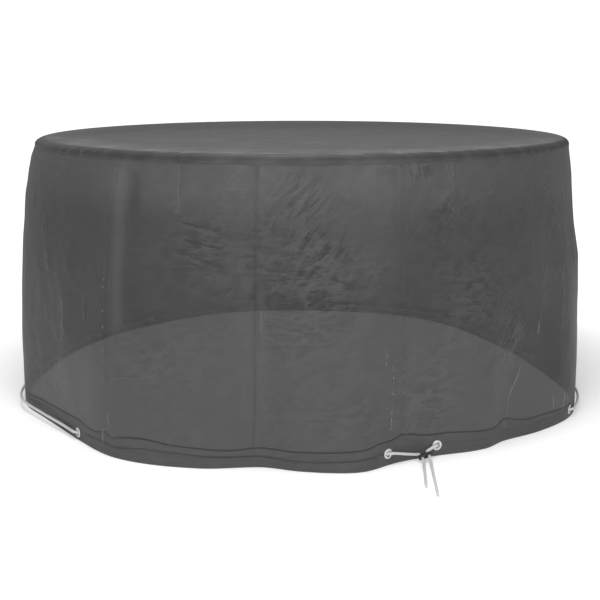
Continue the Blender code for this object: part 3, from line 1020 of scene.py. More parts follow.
class Wires:
    """Adds nodes to a tree and joins them, in short words."""

    def __init__(self, tree: NodeTree) -> None:
        """Keeps the tree."""
        self.tree = tree

    def add(self, kind: str, **inputs: object) -> Node:
        """Adds a node and sets its inputs.

        Args:
            kind: The node's type, without its prefix.
            inputs: Values or sockets by input name, with spaces as underscores. A
                name with a leading underscore sets the node's own property.

        Returns:
            The node.
        """
        node = self.tree.nodes.new(kind if kind.startswith("Node") else "ShaderNode" + kind)
        for name, value in inputs.items():
            if name.startswith("_"):
                setattr(node, name[1:], value)
        for name, value in inputs.items():
            if not name.startswith("_"):
                self.put(node.inputs[name.replace("_", " ")], value)
        return node

    def put(self, socket: NodeSocket, value: object) -> None:
        """Joins a socket to another, or sets its value.

        Args:
            socket: The input.
            value: A socket or a plain value.
        """
        if isinstance(value, NodeSocket):
            self.tree.links.new(value, socket)
        elif socket.type == "RGBA":
            socket.default_value = (*value[:3], 1.0)
        else:
            socket.default_value = value

    def fed(self, kind: str, operation: str, *values: object) -> Node:
        """A node of a kind and an operation, with values or sockets in its inputs in turn.

        Args:
            kind: The node's type, without its prefix.
            operation: Its operation.
            values: Values or sockets for its inputs in turn.

        Returns:
            The node.
        """
        node = self.add(kind, _operation=operation)
        for socket, value in zip(node.inputs, values):
            self.put(socket, value)
        return node

    def math(self, operation: str, *values: object) -> NodeSocket:
        """The result of a Math node."""
        return self.fed("Math", operation, *values).outputs[0]

    def times(self, a: object, b: object, *plus: object, clamp: bool = False) -> NodeSocket:
        """The product of two values with a third, if given, added to it."""
        node = self.fed("Math", "MULTIPLY_ADD" if plus else "MULTIPLY", a, b, *plus)
        node.use_clamp = clamp
        return node.outputs[0]

    def size(self, value: object) -> NodeSocket:
        """A value without its sign."""
        return self.math("ABSOLUTE", value)

    def vector(self, operation: str, *values: object) -> NodeSocket:
        """The result of a Vector Math node."""
        node = self.fed("VectorMath", operation, *values)
        return node.outputs["Value" if operation in ("DOT_PRODUCT", "LENGTH") else "Vector"]

    def parts(self, value: object) -> Sequence[NodeSocket]:
        """The three values of a vector."""
        return self.add("SeparateXYZ", Vector=value).outputs

    def noise(self, at: object, scale: float, detail: float) -> NodeSocket:
        """A noise pattern's strength at a place."""
        return self.add("TexNoise", Vector=at, Scale=scale, Detail=detail).outputs["Fac"]

    def span(self, value: object, low: float, high: float, to: Pair = (0.0, 1.0)) -> NodeSocket:
        """A value's place between two limits, eased and held inside them.

        Args:
            value: The value.
            low: The lower limit.
            high: The upper limit.
            to: What they become.

        Returns:
            The eased value.
        """
        node = self.add("MapRange", _interpolation_type="SMOOTHSTEP", Value=value)
        for name, number in zip(("From Min", "From Max", "To Min", "To Max"), (low, high, *to)):
            node.inputs[name].default_value = number
        return node.outputs["Result"]

    def fade(self, value: object, low: float, high: float, top: float = 1.0) -> NodeSocket:
        """A fall from the top to 0 between two limits."""
        return self.span(value, low, high, (top, 0.0))

    def tint(self, part: object, a: object, b: object) -> NodeSocket:
        """A colour between two others.

        Args:
            part: 0 for the first colour and 1 for the second.
            a: The first colour.
            b: The second colour.

        Returns:
            The colour.
        """
        node = self.add("Mix", _data_type="RGBA")
        for number, value in ((0, part), (6, a), (7, b)):
            self.put(node.inputs[number], value)
        return node.outputs[2]


class Group(Wires):
    """A node group with named inputs and outputs."""

    def __init__(self, name: str, inputs: dict[str, object], outputs: Sequence[str]) -> None:
        """Makes the group and its sockets.

        Args:
            name: The group's name.
            inputs: Default values by name: a number, a vector, or None for a plain vector.
            outputs: Names of the values that it puts out.
        """
        super().__init__(bpy.data.node_groups.new(name, "ShaderNodeTree"))
        sockets = self.tree.interface
        for label, value in inputs.items():
            kind = FLOAT if isinstance(value, float) else VECTOR
            socket = sockets.new_socket(label, in_out="INPUT", socket_type=kind)
            if value is not None:
                socket.default_value = value
        for label in outputs:
            sockets.new_socket(label, in_out="OUTPUT", socket_type=FLOAT)
        self.given = self.add("NodeGroupInput").outputs
        self.out = self.add("NodeGroupOutput").inputs

    def done(self, *values: object) -> NodeTree:
        """Joins the outputs in turn and gives back the group."""
        for socket, value in zip(self.out, values):
            self.put(socket, value)
        return self.tree


class Paint(Wires):
    """A new material, with its shader and the object's own coordinates."""

    def __init__(self, name: str, **settings: float) -> None:
        """Makes the material.

        Args:
            name: The material's name.
            settings: Plain values of its shader, with spaces as underscores.
        """
        self.paint = bpy.data.materials.new(name)
        self.paint.use_nodes = True
        super().__init__(self.paint.node_tree)
        self.shader = self.tree.nodes["Principled BSDF"].inputs
        self.wear(**settings)
        self.place = self.add("TexCoord").outputs["Object"]

    def wear(self, **values: object) -> None:
        """Puts values or sockets on the shader, by name."""
        for name, value in values.items():
            self.put(self.shader[name.replace("_", " ")], value)

    def chart(self) -> NodeSocket:
        """The piece's own map."""
        return self.add("UVMap", _uv_map="drape").outputs["UV"]

    def raised(self, height: object, strength: float, distance: float) -> Material:
        """Bumps the surface by a height and gives back the material."""
        bump = self.add("Bump", Strength=strength, Distance=distance, Height=height)
        self.wear(Normal=bump.outputs["Normal"])
        return self.paint


@lru_cache(maxsize=None)
def crease_group() -> NodeTree:
    """Group for the crease lines: thin, wandering, broken strokes from the mesh's own marks.

    Line holds the way across a crease, the way along it and how much painted highlight it has.
    Form holds how much painted shade it has, how much of it is broken away and its lift.

    Returns:
        The group.
    """
    w = Group("crease_line", {"Line": None, "Form": None}, ("Light", "Dark", "Lift"))
    across, steps, painted_highlight = w.parts(w.given["Line"])
    painted_shade, dashes, lift = w.parts(w.given["Form"])
    wander, broken = (
        w.add("TexNoise", _noise_dimensions="1D", W=steps, Scale=scale, Detail=detail)
        for scale, detail in ((38.0, 2.0), (85.0, 1.0))
    )
    drift = w.times(wander.outputs["Fac"], 0.008, -0.004)
    gap = w.size(w.math("ADD", across, drift))
    keep = w.times(dashes, -0.8, broken.outputs["Fac"])
    keep = w.times(keep, 8.0, 0.1, clamp=True)
    # Painted highlight in thin broken strokes, painted shade in a wider soft band, and the lift
    return w.done(
        w.times(w.times(w.fade(gap, 0.0003, 0.0019), keep), painted_highlight),
        w.times(w.fade(gap, 0.0006, 0.0062), painted_shade),
        w.times(w.fade(gap, 0.0, 0.008), lift),
    )


@lru_cache(maxsize=None)
def crinkle_group() -> NodeTree:
    """Group for the crinkled film: broad slack, and fine wrinkles drawn three ways, with painted
    light and shade on their two sides.

    Ways holds how strongly it is wrinkled along the level, rising and upright.

    Returns:
        The group.
    """
    w = Group("crinkled_film", {"Place": None, "Ways": PLAIN_FILM}, ("Height", "Tone", "Ridges"))
    broad = w.add("TexNoise", Vector=w.given["Place"], Scale=6.0, Detail=2.0).outputs
    place = w.vector("MULTIPLY_ADD", broad["Color"], (0.045, 0.045, 0.045), w.given["Place"])
    level, rising, upright = w.parts(w.given["Ways"])
    sideways = w.vector("DOT_PRODUCT", place, (1.0, 1.0, 0.0))
    up = w.vector("DOT_PRODUCT", place, (0.0, 0.0, 1.0))
    slant = w.math("SUBTRACT", up, sideways)
    tone: object = 0.0
    ridges: object = 0.0
    for strength, rise, along_way, across_way in (
        (level, up, 20.0, 72.0),
        (rising, slant, 18.0, 56.0),
        (upright, up, 66.0, 11.0),
    ):
        flat = w.vector("MULTIPLY", place, (along_way, along_way, 0.0))
        drawn = w.add("CombineXYZ", Z=w.times(rise, across_way)).outputs[0]
        drawn = w.vector("ADD", flat, drawn)
        wrinkle = w.add("TexNoise", Vector=drawn, Scale=1.0, Detail=1.0, Roughness=0.6)
        off = w.math("SUBTRACT", wrinkle.outputs["Fac"], 0.5)
        # Ridges, which the cloth paints as highlight
        ridges = w.times(w.fade(w.size(off), 0.0, 0.080), strength, ridges)
        # Painted light and shade: each wrinkle lighter on one side and darker on the other
        phase = w.math("MAXIMUM", w.times(off, math.pi / 0.15), -math.pi)
        lit = w.times(w.math("SINE", w.math("MINIMUM", phase, math.pi)), 0.5)
        tone = w.times(w.times(off, 0.8, lit), strength, tone)
    slack = w.math("SUBTRACT", broad["Fac"], 0.5)
    height = w.times(ridges, 0.30, w.times(tone, 0.30))
    return w.done(w.times(slack, 2.0, height), w.times(slack, 0.25, tone), ridges)


@lru_cache(maxsize=None)
def sewn_group() -> NodeTree:
    """Group for the sewn and pressed lines of the wall: the painted shade along each.

    Gaps holds the way to the hem's seam, to the felled seam and to the cord's line.

    Returns:
        The group.
    """
    w = Group("sewn_lines", {"Gaps": None}, ("Dark", "Height", "Turned"))
    hem, felled, cord = w.parts(w.given["Gaps"])
    # Painted shade in the groove of the hem's seam and along the cord's pressed line, and faintly
    # over the felled seam's strip and its edges
    line = w.fade(w.size(hem), 0.0012, 0.0050)
    pressed = w.fade(w.size(cord), 0.0008, 0.0042)
    strip = w.fade(w.size(felled), 0.0065, 0.0085)
    edge = w.fade(w.size(w.math("SUBTRACT", w.size(felled), 0.0068)), 0.0006, 0.0022)
    dark = w.times(pressed, 0.46, w.times(strip, 0.03, w.times(edge, 0.03)))
    return w.done(
        w.times(line, 0.50, dark, clamp=True),
        w.times(line, -0.5, w.times(pressed, 0.4)),
        w.fade(hem, -0.004, 0.0),
    )


@lru_cache(maxsize=None)
def weave_group() -> NodeTree:
    """Group for the fine plain weave of the film's backing, on the drape map.

    Returns:
        The group.
    """
    w = Group("plain_weave", {"Map": None, "Threads": 900.0}, ("Height",))
    across, along_way, _ = w.parts(w.given["Map"])
    waves = [
        w.math("SINE", w.times(w.times(way, w.given["Threads"]), math.tau))
        for way in (across, along_way)
    ]
    return w.done(w.times(*waves))


# ---------------------------------------------------------------- finishes


def shaded(colour: Colour, by: float) -> Colour:
    """A colour made darker, or paler above 1."""
    return tuple(by * part for part in colour)


@dataclass(frozen=True)
class ClothFinish:
    """Dark, slightly see-through film cloth with a soft sheen."""

    name: str
    colour: Colour = (0.041, 0.041, 0.042)
    # pale is the colour of painted light and highlight, dark that of painted shade; glint is painted
    # highlight on the wrinkles' ridges
    pale: Colour = (0.42, 0.42, 0.42)
    dark: Colour = (0.014, 0.014, 0.014)
    roughness: float = 0.42
    shine: float = 0.42
    cover: float = 0.70
    crumple: float = 0.42
    mottle_and_shading: float = 0.38
    glint: float = 0.08
    # How much the turned hem is painted paler, as painted light
    hem_painted_light: float = 0.100
    hem_cover: float = 0.62
    top_crease: float = -0.347
    wall: bool = False

    def material(self) -> Material:
        """Builds the cloth's material.

        Returns:
            The material.
        """
        w = Paint(self.name, Specular_IOR_Level=self.shine)
        film = w.add("Group", _node_tree=crinkle_group(), Place=w.place)
        height, tone, ridges = film.outputs
        chart = w.chart()
        weave = w.add("Group", _node_tree=weave_group(), Map=chart).outputs["Height"]
        turn, run, _ = w.parts(chart)
        mottle_and_shading: object = self.mottle_and_shading
        if not self.wall:
            mottle_and_shading = w.span(run, 0.985, 1.03, (0.3 * self.mottle_and_shading, self.mottle_and_shading))
        # Random mottle with the wrinkles' painted light and shade, and painted highlight on their
        # ridges
        tone = w.times(ridges, self.glint, w.times(tone, mottle_and_shading, 0.38), clamp=True)
        colour = w.tint(tone, shaded(self.colour, 0.5), shaded(self.colour, 1.9))
        height = w.times(weave, 0.0008, height)
        cover: object = self.cover
        rough = w.times(ridges, -0.08, self.roughness)
        if self.wall:
            colour, height, cover = self.wall_marks(w, film, colour, height)
        else:
            # Painted shade over the rim's rounded edge and band, faint on the far left
            band = w.times(w.fade(run, 0.935, 0.990), w.span(run, 0.885, 0.945))
            band = w.times(band, w.span(turn, -0.95, -0.58, (0.15, 1.0)))
            colour = self.top_light_and_shade(w, colour, run)
            colour = w.tint(w.times(band, 0.46), colour, self.dark)
            rough = w.times(band, 0.3, rough)
            height = w.times(height, w.span(run, 0.985, 1.03, (0.25, 1.0)))
        w.wear(Base_Color=colour, Roughness=rough, Alpha=cover)
        w.paint.diffuse_color = (*self.colour, 1.0)
        return w.raised(height, self.crumple, 0.004)

    def wall_marks(
        self, w: Paint, film: Node, colour: object, height: object
    ) -> tuple[NodeSocket, NodeSocket, NodeSocket]:
        """The wall's creases with their painted highlight and painted shade, the painted shade of
        its sewn lines, its bands of painted light and painted shade, and its turned hem, painted
        paler.

        Args:
            w: The material's wires.
            film: The crinkled film's node.
            colour: The film's colour.
            height: The film's height.

        Returns:
            The colour, the height and the cover with them.
        """
        *marks, shade_mark = (w.add("Attribute", _attribute_name=name) for name in CLOTH_MARKS)
        line_mark, form_mark, gap_mark, ways = (mark.outputs["Vector"] for mark in marks)
        shade = shade_mark.outputs["Fac"]
        w.put(film.inputs["Ways"], ways)
        light, dark, lift = w.add(
            "Group", _node_tree=crease_group(), Line=line_mark, Form=form_mark
        ).outputs
        sewn, sunk, turned = w.add("Group", _node_tree=sewn_group(), Gaps=gap_mark).outputs
        # Painted light: the turned hem made paler, and the bands of painted light
        paler = w.times(turned, self.hem_painted_light, w.math("MAXIMUM", shade, 0.0))
        colour = w.tint(paler, colour, self.pale)
        # Painted shade: in the creases' folds, along the sewn lines and in the darker bands
        dark = w.math("MAXIMUM", w.math("MAXIMUM", dark, sewn), w.times(shade, -1.0))
        colour = w.tint(dark, colour, self.dark)
        # Painted highlight along the creases, where the cloth is also less see-through
        colour = w.tint(light, colour, self.pale)
        height = w.math("ADD", w.times(lift, 0.6, height), sunk)
        cover = w.times(light, 0.3, self.cover)
        cover = w.times(turned, self.hem_cover - self.cover, cover, clamp=True)
        return colour, height, cover

    def top_light_and_shade(self, w: Paint, colour: object, run: object) -> NodeSocket:
        """The top's painted light towards the front, its streaks of painted highlight and the
        painted shade of its one long crease.

        Args:
            w: The material's wires.
            colour: The film's colour.
            run: The way along the sheet, 1 where the flat part ends at the rim.

        Returns:
            The colour with them.
        """
        across, depth, _ = w.parts(w.place)
        front = w.fade(depth, -0.95, 0.9)
        streaks = w.noise(w.vector("MULTIPLY", w.place, (8.0, 40.0, 1.0)), 1.0, 3.0)
        # Painted light, more towards the front, with streaks of painted highlight
        top_painted_light = w.times(w.span(streaks, 0.45, 0.75), front)
        top_painted_light = w.times(front, 0.05, w.times(top_painted_light, 0.14))
        # Painted highlight near the top's edge
        edge = w.times(w.fade(run, 1.0, 1.2), front)
        top_painted_light = w.times(w.span(streaks, 0.42, 0.64, (0.02, 0.30)), edge, top_painted_light)
        # Less on the rounded edge, and a little painted light low on the band
        top_painted_light = w.times(
            top_painted_light, w.span(run, 0.955, 0.990, (0.2, 1.0)), w.fade(run, 0.885, 0.925, 0.060)
        )
        colour = w.tint(top_painted_light, colour, self.pale)
        # Painted shade along the top's long crease, fading towards the back
        drift = w.times(streaks, 0.012, -self.top_crease - 0.006)
        gap = w.size(w.math("ADD", across, drift))
        return w.tint(w.times(w.fade(gap, 0.0015, 0.0055, 0.34), front), colour, self.dark)


TOP_CLOTH = ClothFinish("top_cloth")
# The wall's copy of the same cloth is painted paler than the top's, as painted light in place of the
# sheen that its lower shine leaves out
WALL_CLOTH = ClothFinish("wall_cloth", colour=(0.060, 0.060, 0.061), shine=0.22, wall=True)


@dataclass(frozen=True)
class ThreadFinish:
    """Twisted sewing thread."""

    colour: Colour = (0.054, 0.054, 0.055)

    def material(self) -> Material:
        """Builds the thread's material.

        Returns:
            The material.
        """
        w = Paint("sewing_thread", Roughness=0.7)
        fluff = w.noise(w.place, 900.0, 2.0)
        w.wear(Base_Color=w.tint(fluff, self.colour, shaded(self.colour, 1.8)))
        return w.raised(fluff, 0.3, 0.0003)


@dataclass(frozen=True)
class MetalFinish:
    """Bright pressed eyelet metal, with rubbing on its crest."""

    colour: Colour = (0.86, 0.86, 0.86)
    roughness: float = 0.26

    def material(self) -> Material:
        """Builds the metal.

        Returns:
            The material.
        """
        w = Paint("pressed_eyelet_metal", Metallic=0.85)
        rub = w.noise(w.place, 420.0, 4.0)
        dull = w.noise(w.place, 60.0, 3.0)
        w.wear(
            Base_Color=w.tint(dull, shaded(self.colour, 0.80), self.colour),
            Roughness=w.times(rub, 0.16, self.roughness),
        )
        return w.raised(rub, 0.12, 0.0004)


@dataclass(frozen=True)
class BraidFinish:
    """White braided cord, whose strands cross along the piece's own map."""

    colour: Colour = (0.72, 0.72, 0.72)
    # Colour of the painted shade between the strands and of the soil
    soil_and_shade: Colour = (0.42, 0.42, 0.41)
    strands: float = 8.0
    pitch: float = 95.0

    def material(self) -> Material:
        """Builds the braid. Its map has u along the cord in metres and v once round.

        Returns:
            The material.
        """
        w = Paint("white_cord_braid", Roughness=0.75, Sheen_Weight=0.2)
        along_cord, round_cord, _ = w.parts(w.chart())
        run, turn = w.times(along_cord, self.pitch), w.times(round_cord, self.strands)
        waves = [
            w.size(w.math("SINE", w.times(w.times(turn, sign, run), math.pi)))
            for sign in (1.0, -1.0)
        ]
        strand = w.math("POWER", w.times(*waves), 0.5)
        # Painted shade in the grooves between the strands
        pale = w.tint(w.times(strand, 0.75, 0.25, clamp=True), self.soil_and_shade, self.colour)
        dirt = w.span(w.noise(w.place, 55.0, 4.0), 0.55, 0.8, (0.0, 0.35))
        w.wear(Base_Color=w.tint(dirt, pale, self.soil_and_shade))
        return w.raised(strand, 0.8, 0.0006)


@dataclass(frozen=True)
class PlasticFinish:
    """Black moulded plastic with a fine grain and rubbed patches."""

    colour: Colour = (0.014, 0.014, 0.015)

    def material(self) -> Material:
        """Builds the plastic.

        Returns:
            The material.
        """
        w = Paint("black_toggle_plastic")
        rub = w.noise(w.place, 160.0, 3.0)
        w.wear(
            Base_Color=w.tint(w.span(rub, 0.5, 0.7), self.colour, shaded(self.colour, 2.2)),
            Roughness=w.times(rub, 0.25, 0.22),
        )
        return w.raised(w.noise(w.place, 1400.0, 2.0), 0.15, 0.0002)


@dataclass(frozen=True)
class FloorFinish:
    """Plain pale floor."""

    colour: Colour = (0.90, 0.90, 0.90)
    glow: float = 0.30
    far_glow: float = 0.80
    lit: float = 0.10
    near: float = 1.15
    far: float = 2.60

    def material(self) -> Material:
        """Builds the floor's paint.

        Returns:
            The material.
        """
        w = Paint("pale_floor", Roughness=0.95, Specular_IOR_Level=0.0, Emission_Strength=1.0)
        cast = w.noise(w.place, 0.8, 2.0)
        away = w.vector("LENGTH", w.vector("MULTIPLY", w.place, (1.0, 1.0, 0.0)))
        away = w.span(away, self.near, self.far)
        # The floor glows: faintly for all rays, and more for camera rays, most far out so that it
        # reads white; near and under the cover its glow is painted light
        dim, bright, lit = ((part,) * 3 for part in (self.glow, self.far_glow, self.lit))
        seen = w.add("LightPath").outputs["Is Camera Ray"]
        w.wear(
            Base_Color=w.tint(cast, shaded(self.colour, 0.97), self.colour),
            Emission_Color=w.tint(seen, lit, w.tint(away, dim, bright)),
        )
        return w.paint


# ---------------------------------------------------------------- cords


@dataclass
class Cord:
    """A round braided cord along a route, with shallow lengthwise ribs and rounded ends."""

    name: str
    points: Route
    step: float = 0.006
    sides: int = 24
    ribs: int = 8
    rib_depth: float = 0.00022
    caps: int = 4
    tip: float = 0.0016
    twist: float = 9.0

    def route(self) -> Route:
        """The evenly spaced centre line."""
        return curve_through(self.points, self.step)

    def build(self) -> Object:
        """Builds the cord as a closed tube.

        Returns:
            The cord.
        """
        frames = self._frames(self.route())
        count = len(frames) - 1

        def station(row: int) -> tuple[int, float, float]:
            """Index on the line, share of the radius and push past the end of a row.

            Args:
                row: The row of the tube.

            Returns:
                The index, the share and the push.
            """
            if row < self.caps:
                turn = math.pi / 2 * row / self.caps
                return 0, math.sin(turn), -math.cos(turn) * self.tip
            if row > self.caps + count:
                turn = math.pi / 2 * (row - self.caps - count) / self.caps
                return count, math.cos(turn), math.sin(turn) * self.tip
            return row - self.caps, 1.0, 0.0

        def place(row: int, side: int) -> Vector:
            """The point of a row and a side of the tube.

            Args:
                row: The row of the tube.
                side: Its side.

            Returns:
                The point.
            """
            index, share, push = station(row)
            centre, x, y, z = frames[index]
            turn = math.tau * side / self.sides
            rib = self.rib_depth * math.cos(self.ribs * (turn + self.twist * self.step * index))
            radius = (CORD / 2 - self.rib_depth + rib) * share
            return centre + x * radius * math.cos(turn) + y * radius * math.sin(turn) + z * push

        def chart(row: int, side: int) -> Pair:
            """Metres along the cord and share of a turn."""
            return self.step * station(row)[0], side / self.sides

        return new_piece(self.name, mapped_grid(count + 2 * self.caps, self.sides, place, chart))

    def _frames(self, line: Route) -> list[tuple[Vector, Vector, Vector, Vector]]:
        """Centre and axes at each point of the line, turned as little as can be.

        Args:
            line: The centre line.

        Returns:
            The centre, two axes across and one along.
        """
        frames = []
        x = UP.copy()
        for i, centre in enumerate(line):
            z = (line[min(i + 1, len(line) - 1)] - line[max(i - 1, 0)]).normalized()
            x = (x - z * x.dot(z)).normalized()
            frames.append((centre, x.copy(), z.cross(x), z))
        return frames


@dataclass
class Toggle:
    """Black plastic toggle with two holes, through which the cord leaves."""

    angle: float = 22.0
    offset: float = 0.0265
    height: float = 0.0175
    length: float = 0.044
    width: float = 0.019
    thick: float = 0.009
    tilt: float = 12.0
    lean: float = 20.0
    spacing: float = 0.022
    hole: float = 0.0098
    bend: float = 0.0135
    lip: float = 0.0012
    round_edge: float = 0.0026
    sides: int = 40

    def frame(self) -> Matrix:
        """X along the toggle, Z along its holes, outwards and down.

        Returns:
            The frame at the toggle's middle.
        """
        centre = SHAPE.hem_point(self.angle, self.height, self.offset)
        out = (centre - SHAPE.hem_point(self.angle, self.height, 0.0)).normalized()
        lean, tilt = math.radians(self.lean), math.radians(self.tilt)
        axis = out * math.cos(lean) - UP * math.sin(lean)
        flat = UP.cross(out)
        run = flat * math.cos(tilt) + axis.cross(flat) * math.sin(tilt)
        return seat(run, axis, centre)

    def holes(self) -> list[Matrix]:
        """Frames of the left and the right hole."""
        return [
            self.frame() @ Matrix.Translation((side * self.spacing / 2, 0, 0)) for side in (-1, 1)
        ]

    def into(self, hole: Matrix, side: int) -> Route:
        """The cord's points from the hem into a hole, side -1 from the left.

        Args:
            hole: The hole's frame.
            side: -1 or 1.

        Returns:
            The points, hole last.
        """
        points = []
        for turn in map(math.radians, (0, 30, 60, 90)):
            run = side * self.bend * (1 - math.sin(turn))
            behind = -self.thick / 2 - self.bend * math.cos(turn)
            points.append(hole @ Vector((run, 0, behind)))
        return [*points, hole @ Vector((0, 0, 0))]

    def build(self, paint: Material) -> Object:
        """Builds the toggle: a rounded plate with a rolled lip round each hole.

        Args:
            paint: Its material.

        Returns:
            The toggle.
        """
        plate = bmesh.new()
        bmesh.ops.create_cube(plate, size=1.0)
        bmesh.ops.scale(plate, vec=(self.length, self.width, self.thick), verts=plate.verts)

        def rise(edge: bmesh.types.BMEdge) -> float:
            """How far one end of an edge is above the other."""
            return abs(edge.verts[0].co.z - edge.verts[1].co.z)

        upright = [edge for edge in plate.edges if rise(edge) > 0.001]
        rounded(plate, upright, self.width / 2 - 0.0009, 10)
        level = [
            edge
            for edge in plate.edges
            if rise(edge) < 1e-6 and any(abs(face.normal.z) > 0.5 for face in edge.link_faces)
        ]
        rounded(plate, level, self.round_edge, 5)
        piece = new_piece("toggle_body", plate)
        piece.matrix_world = self.frame()
        applied(piece)
        drilled(piece, self.holes(), self.hole / 2, self.thick * 2, self.sides)
        shape = bmesh.new()
        shape.from_mesh(piece.data)
        for hole in self.holes():
            for side in (-1, 1):
                self._lip(shape, hole, side)
        old = piece.data
        bpy.data.objects.remove(piece, do_unlink=True)
        bpy.data.meshes.remove(old)
        toggle = new_piece("black_toggle", shape)
        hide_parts("cord_toggle")
        return finished(toggle, Slot.PLASTIC, paint)

    def _lip(self, shape: BMesh, hole: Matrix, side: int) -> None:
        """Adds the rolled lip of one mouth of a hole to the shape.

        Args:
            shape: The toggle's bmesh.
            hole: The hole's frame.
            side: -1 behind, 1 in front.
        """
        ring = bmesh.new()
        start = bmesh.ops.create_circle(ring, segments=12, radius=self.lip)["verts"]
        middle = self.hole / 2 + self.lip + 0.0001
        bmesh.ops.rotate(ring, verts=start, matrix=Matrix.Rotation(math.pi / 2, 3, "X"))
        bmesh.ops.translate(ring, verts=start, vec=(middle, 0, side * self.thick / 2))
        spun(ring, self.sides)
        ring.transform(hole)
        mesh = as_mesh("lip", ring)
        shape.from_mesh(mesh)
        bpy.data.meshes.remove(mesh)


@dataclass
class TieCords:
    """The drawcord round the hem and its two free ends."""

    toggle: Toggle
    offset: float = 0.0073
    bend: float = 0.0180
    step: float = 2.8
    bow: float = 0.012
    margin: float = 1.6
    gap: float = 0.0003
    left_end: tuple[Spot, ...] = (
        *((0.3655, -0.9345, 0.0112), (0.3655, -0.9450, 0.0063), (0.3648, -0.9570, 0.0047)),
        *((0.3635, -0.9720, 0.0046), (0.3598, -1.0230, 0.0046), (0.3556, -1.0770, 0.0046)),
        (0.3516, -1.1230, 0.0046),
    )
    right_end: tuple[Spot, ...] = (
        *((0.3850, -0.9280, 0.0150), (0.3862, -0.9400, 0.0088), (0.3868, -0.9520, 0.0056)),
        *((0.3865, -0.9650, 0.0046), (0.3846, -1.0050, 0.0046), (0.3818, -1.0720, 0.0046)),
        *((0.3795, -1.1310, 0.0046), (0.3767, -1.1840, 0.0046)),
    )

    def through(self, eyelet: EyeletRow, outside_after: bool) -> Route:
        """The cord's points through an eyelet, in the order of falling angle.

        Args:
            eyelet: The eyelet.
            outside_after: Whether the cord comes out in front.

        Returns:
            The points.
        """
        place = SHAPE.eyelet_frame(eyelet)
        half = self.offset + HEM_CLOTH / 2
        steep = math.acos(1 - half / self.bend)
        reach = self.bend * math.sin(steep)
        points = []
        for part in (-1, -0.75, -0.5, -0.25, 0, 0.25, 0.5, 0.75, 1):
            turn = steep * (1 - abs(part))
            travel = reach - self.bend * math.sin(turn)
            across = half - self.bend * (1 - math.cos(turn))
            side = math.copysign(1, part) * (1 if outside_after else -1)
            points.append(place @ Vector((-math.copysign(travel, part), 0, side * across)))
        return points

    def run(self, first: EyeletRow, second: EyeletRow, outside: bool) -> Route:
        """The cord's points between two eyelets, beside the hem.

        Args:
            first: The eyelet it comes from.
            second: The eyelet it goes to.
            outside: Whether it runs in front of the hem.

        Returns:
            The points.
        """
        start, end = first.angle - self.margin, second.angle + self.margin
        count = round((start - end) / self.step)
        points = []
        for i in range(count + 1):
            part = i / count
            bow = self.bow * math.sin(math.pi * part) ** 2 if outside else 0.0
            offset = self.offset + bow if outside else -HEM_CLOTH - self.offset
            height = blend(first.height, second.height, part)
            points.append(SHAPE.hem_point(blend(start, end, part), height, offset))
        return points

    def route(self) -> Route:
        """The drawcord's points, from the toggle round the left and back to it.

        Returns:
            The points.
        """
        left_hole, right_hole = self.toggle.holes()
        points = list(reversed(self.toggle.into(left_hole, -1)))
        outside = True
        for number, eyelet in enumerate(EYELETS):
            if number:
                points += self.run(EYELETS[number - 1], eyelet, outside)
            outside = not outside
            points += self.through(eyelet, outside)
        return points + self.toggle.into(right_hole, 1)

    def end_route(self, hole: Matrix, floor: Iterable[Spot]) -> Route:
        """The points of a free end, from inside its hole to the floor."""
        thick = self.toggle.thick
        inside = [hole @ Vector((0, 0, depth)) for depth in (self.gap, thick / 2, thick)]
        return [*inside, *(Vector((x, y, h - DROP)) for x, y, h in floor)]

    def build(self, paint: Material) -> None:
        """Args:
            paint: The braid.
        """
        cord = Cord("white_drawcord", self.route())
        piece = cord.build()
        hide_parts("drawcord")
        finished(piece, Slot.BRAID, paint)
        log.info("drawcord: %.3f m", run_length(cord.route()))
        for side, hole, floor in zip(
            ("left", "right"), self.toggle.holes(), (self.left_end, self.right_end)
        ):
            end = Cord(f"free_end_{side}", self.end_route(hole, floor), step=0.004)
            piece = end.build()
            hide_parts(f"tie_end_{side}")
            route = end.route()
            length = run_length(route)
            tuple(route[0])
            [tuple(point) for point in route]
            finished(piece, Slot.BRAID, paint)
            log.info("free end %s: %.3f m", side, length)


# ---------------------------------------------------------------- cloth


class Sheet:
    """A closed sheet of cloth: a slice of named stations, carried round the cover."""

    columns: int

    def __post_init__(self) -> None:
        """Works out the stations of one slice."""
        self.stations = self.profile()

    def angle(self, column: int) -> float:
        """The angle of a column in degrees, the last the same as the first."""
        return -180 + 360 * (column % self.columns) / self.columns

    def turn(self, column: int) -> float:
        """The angle of a column in radians, as the map holds it."""
        return math.radians(-180 + 360 * column / self.columns)

    def woven(self, name: str, rows: int) -> Object:
        """Makes the sheet with a number of rows."""
        return new_piece(name, mapped_grid(self.columns, rows, self.place, self.chart))


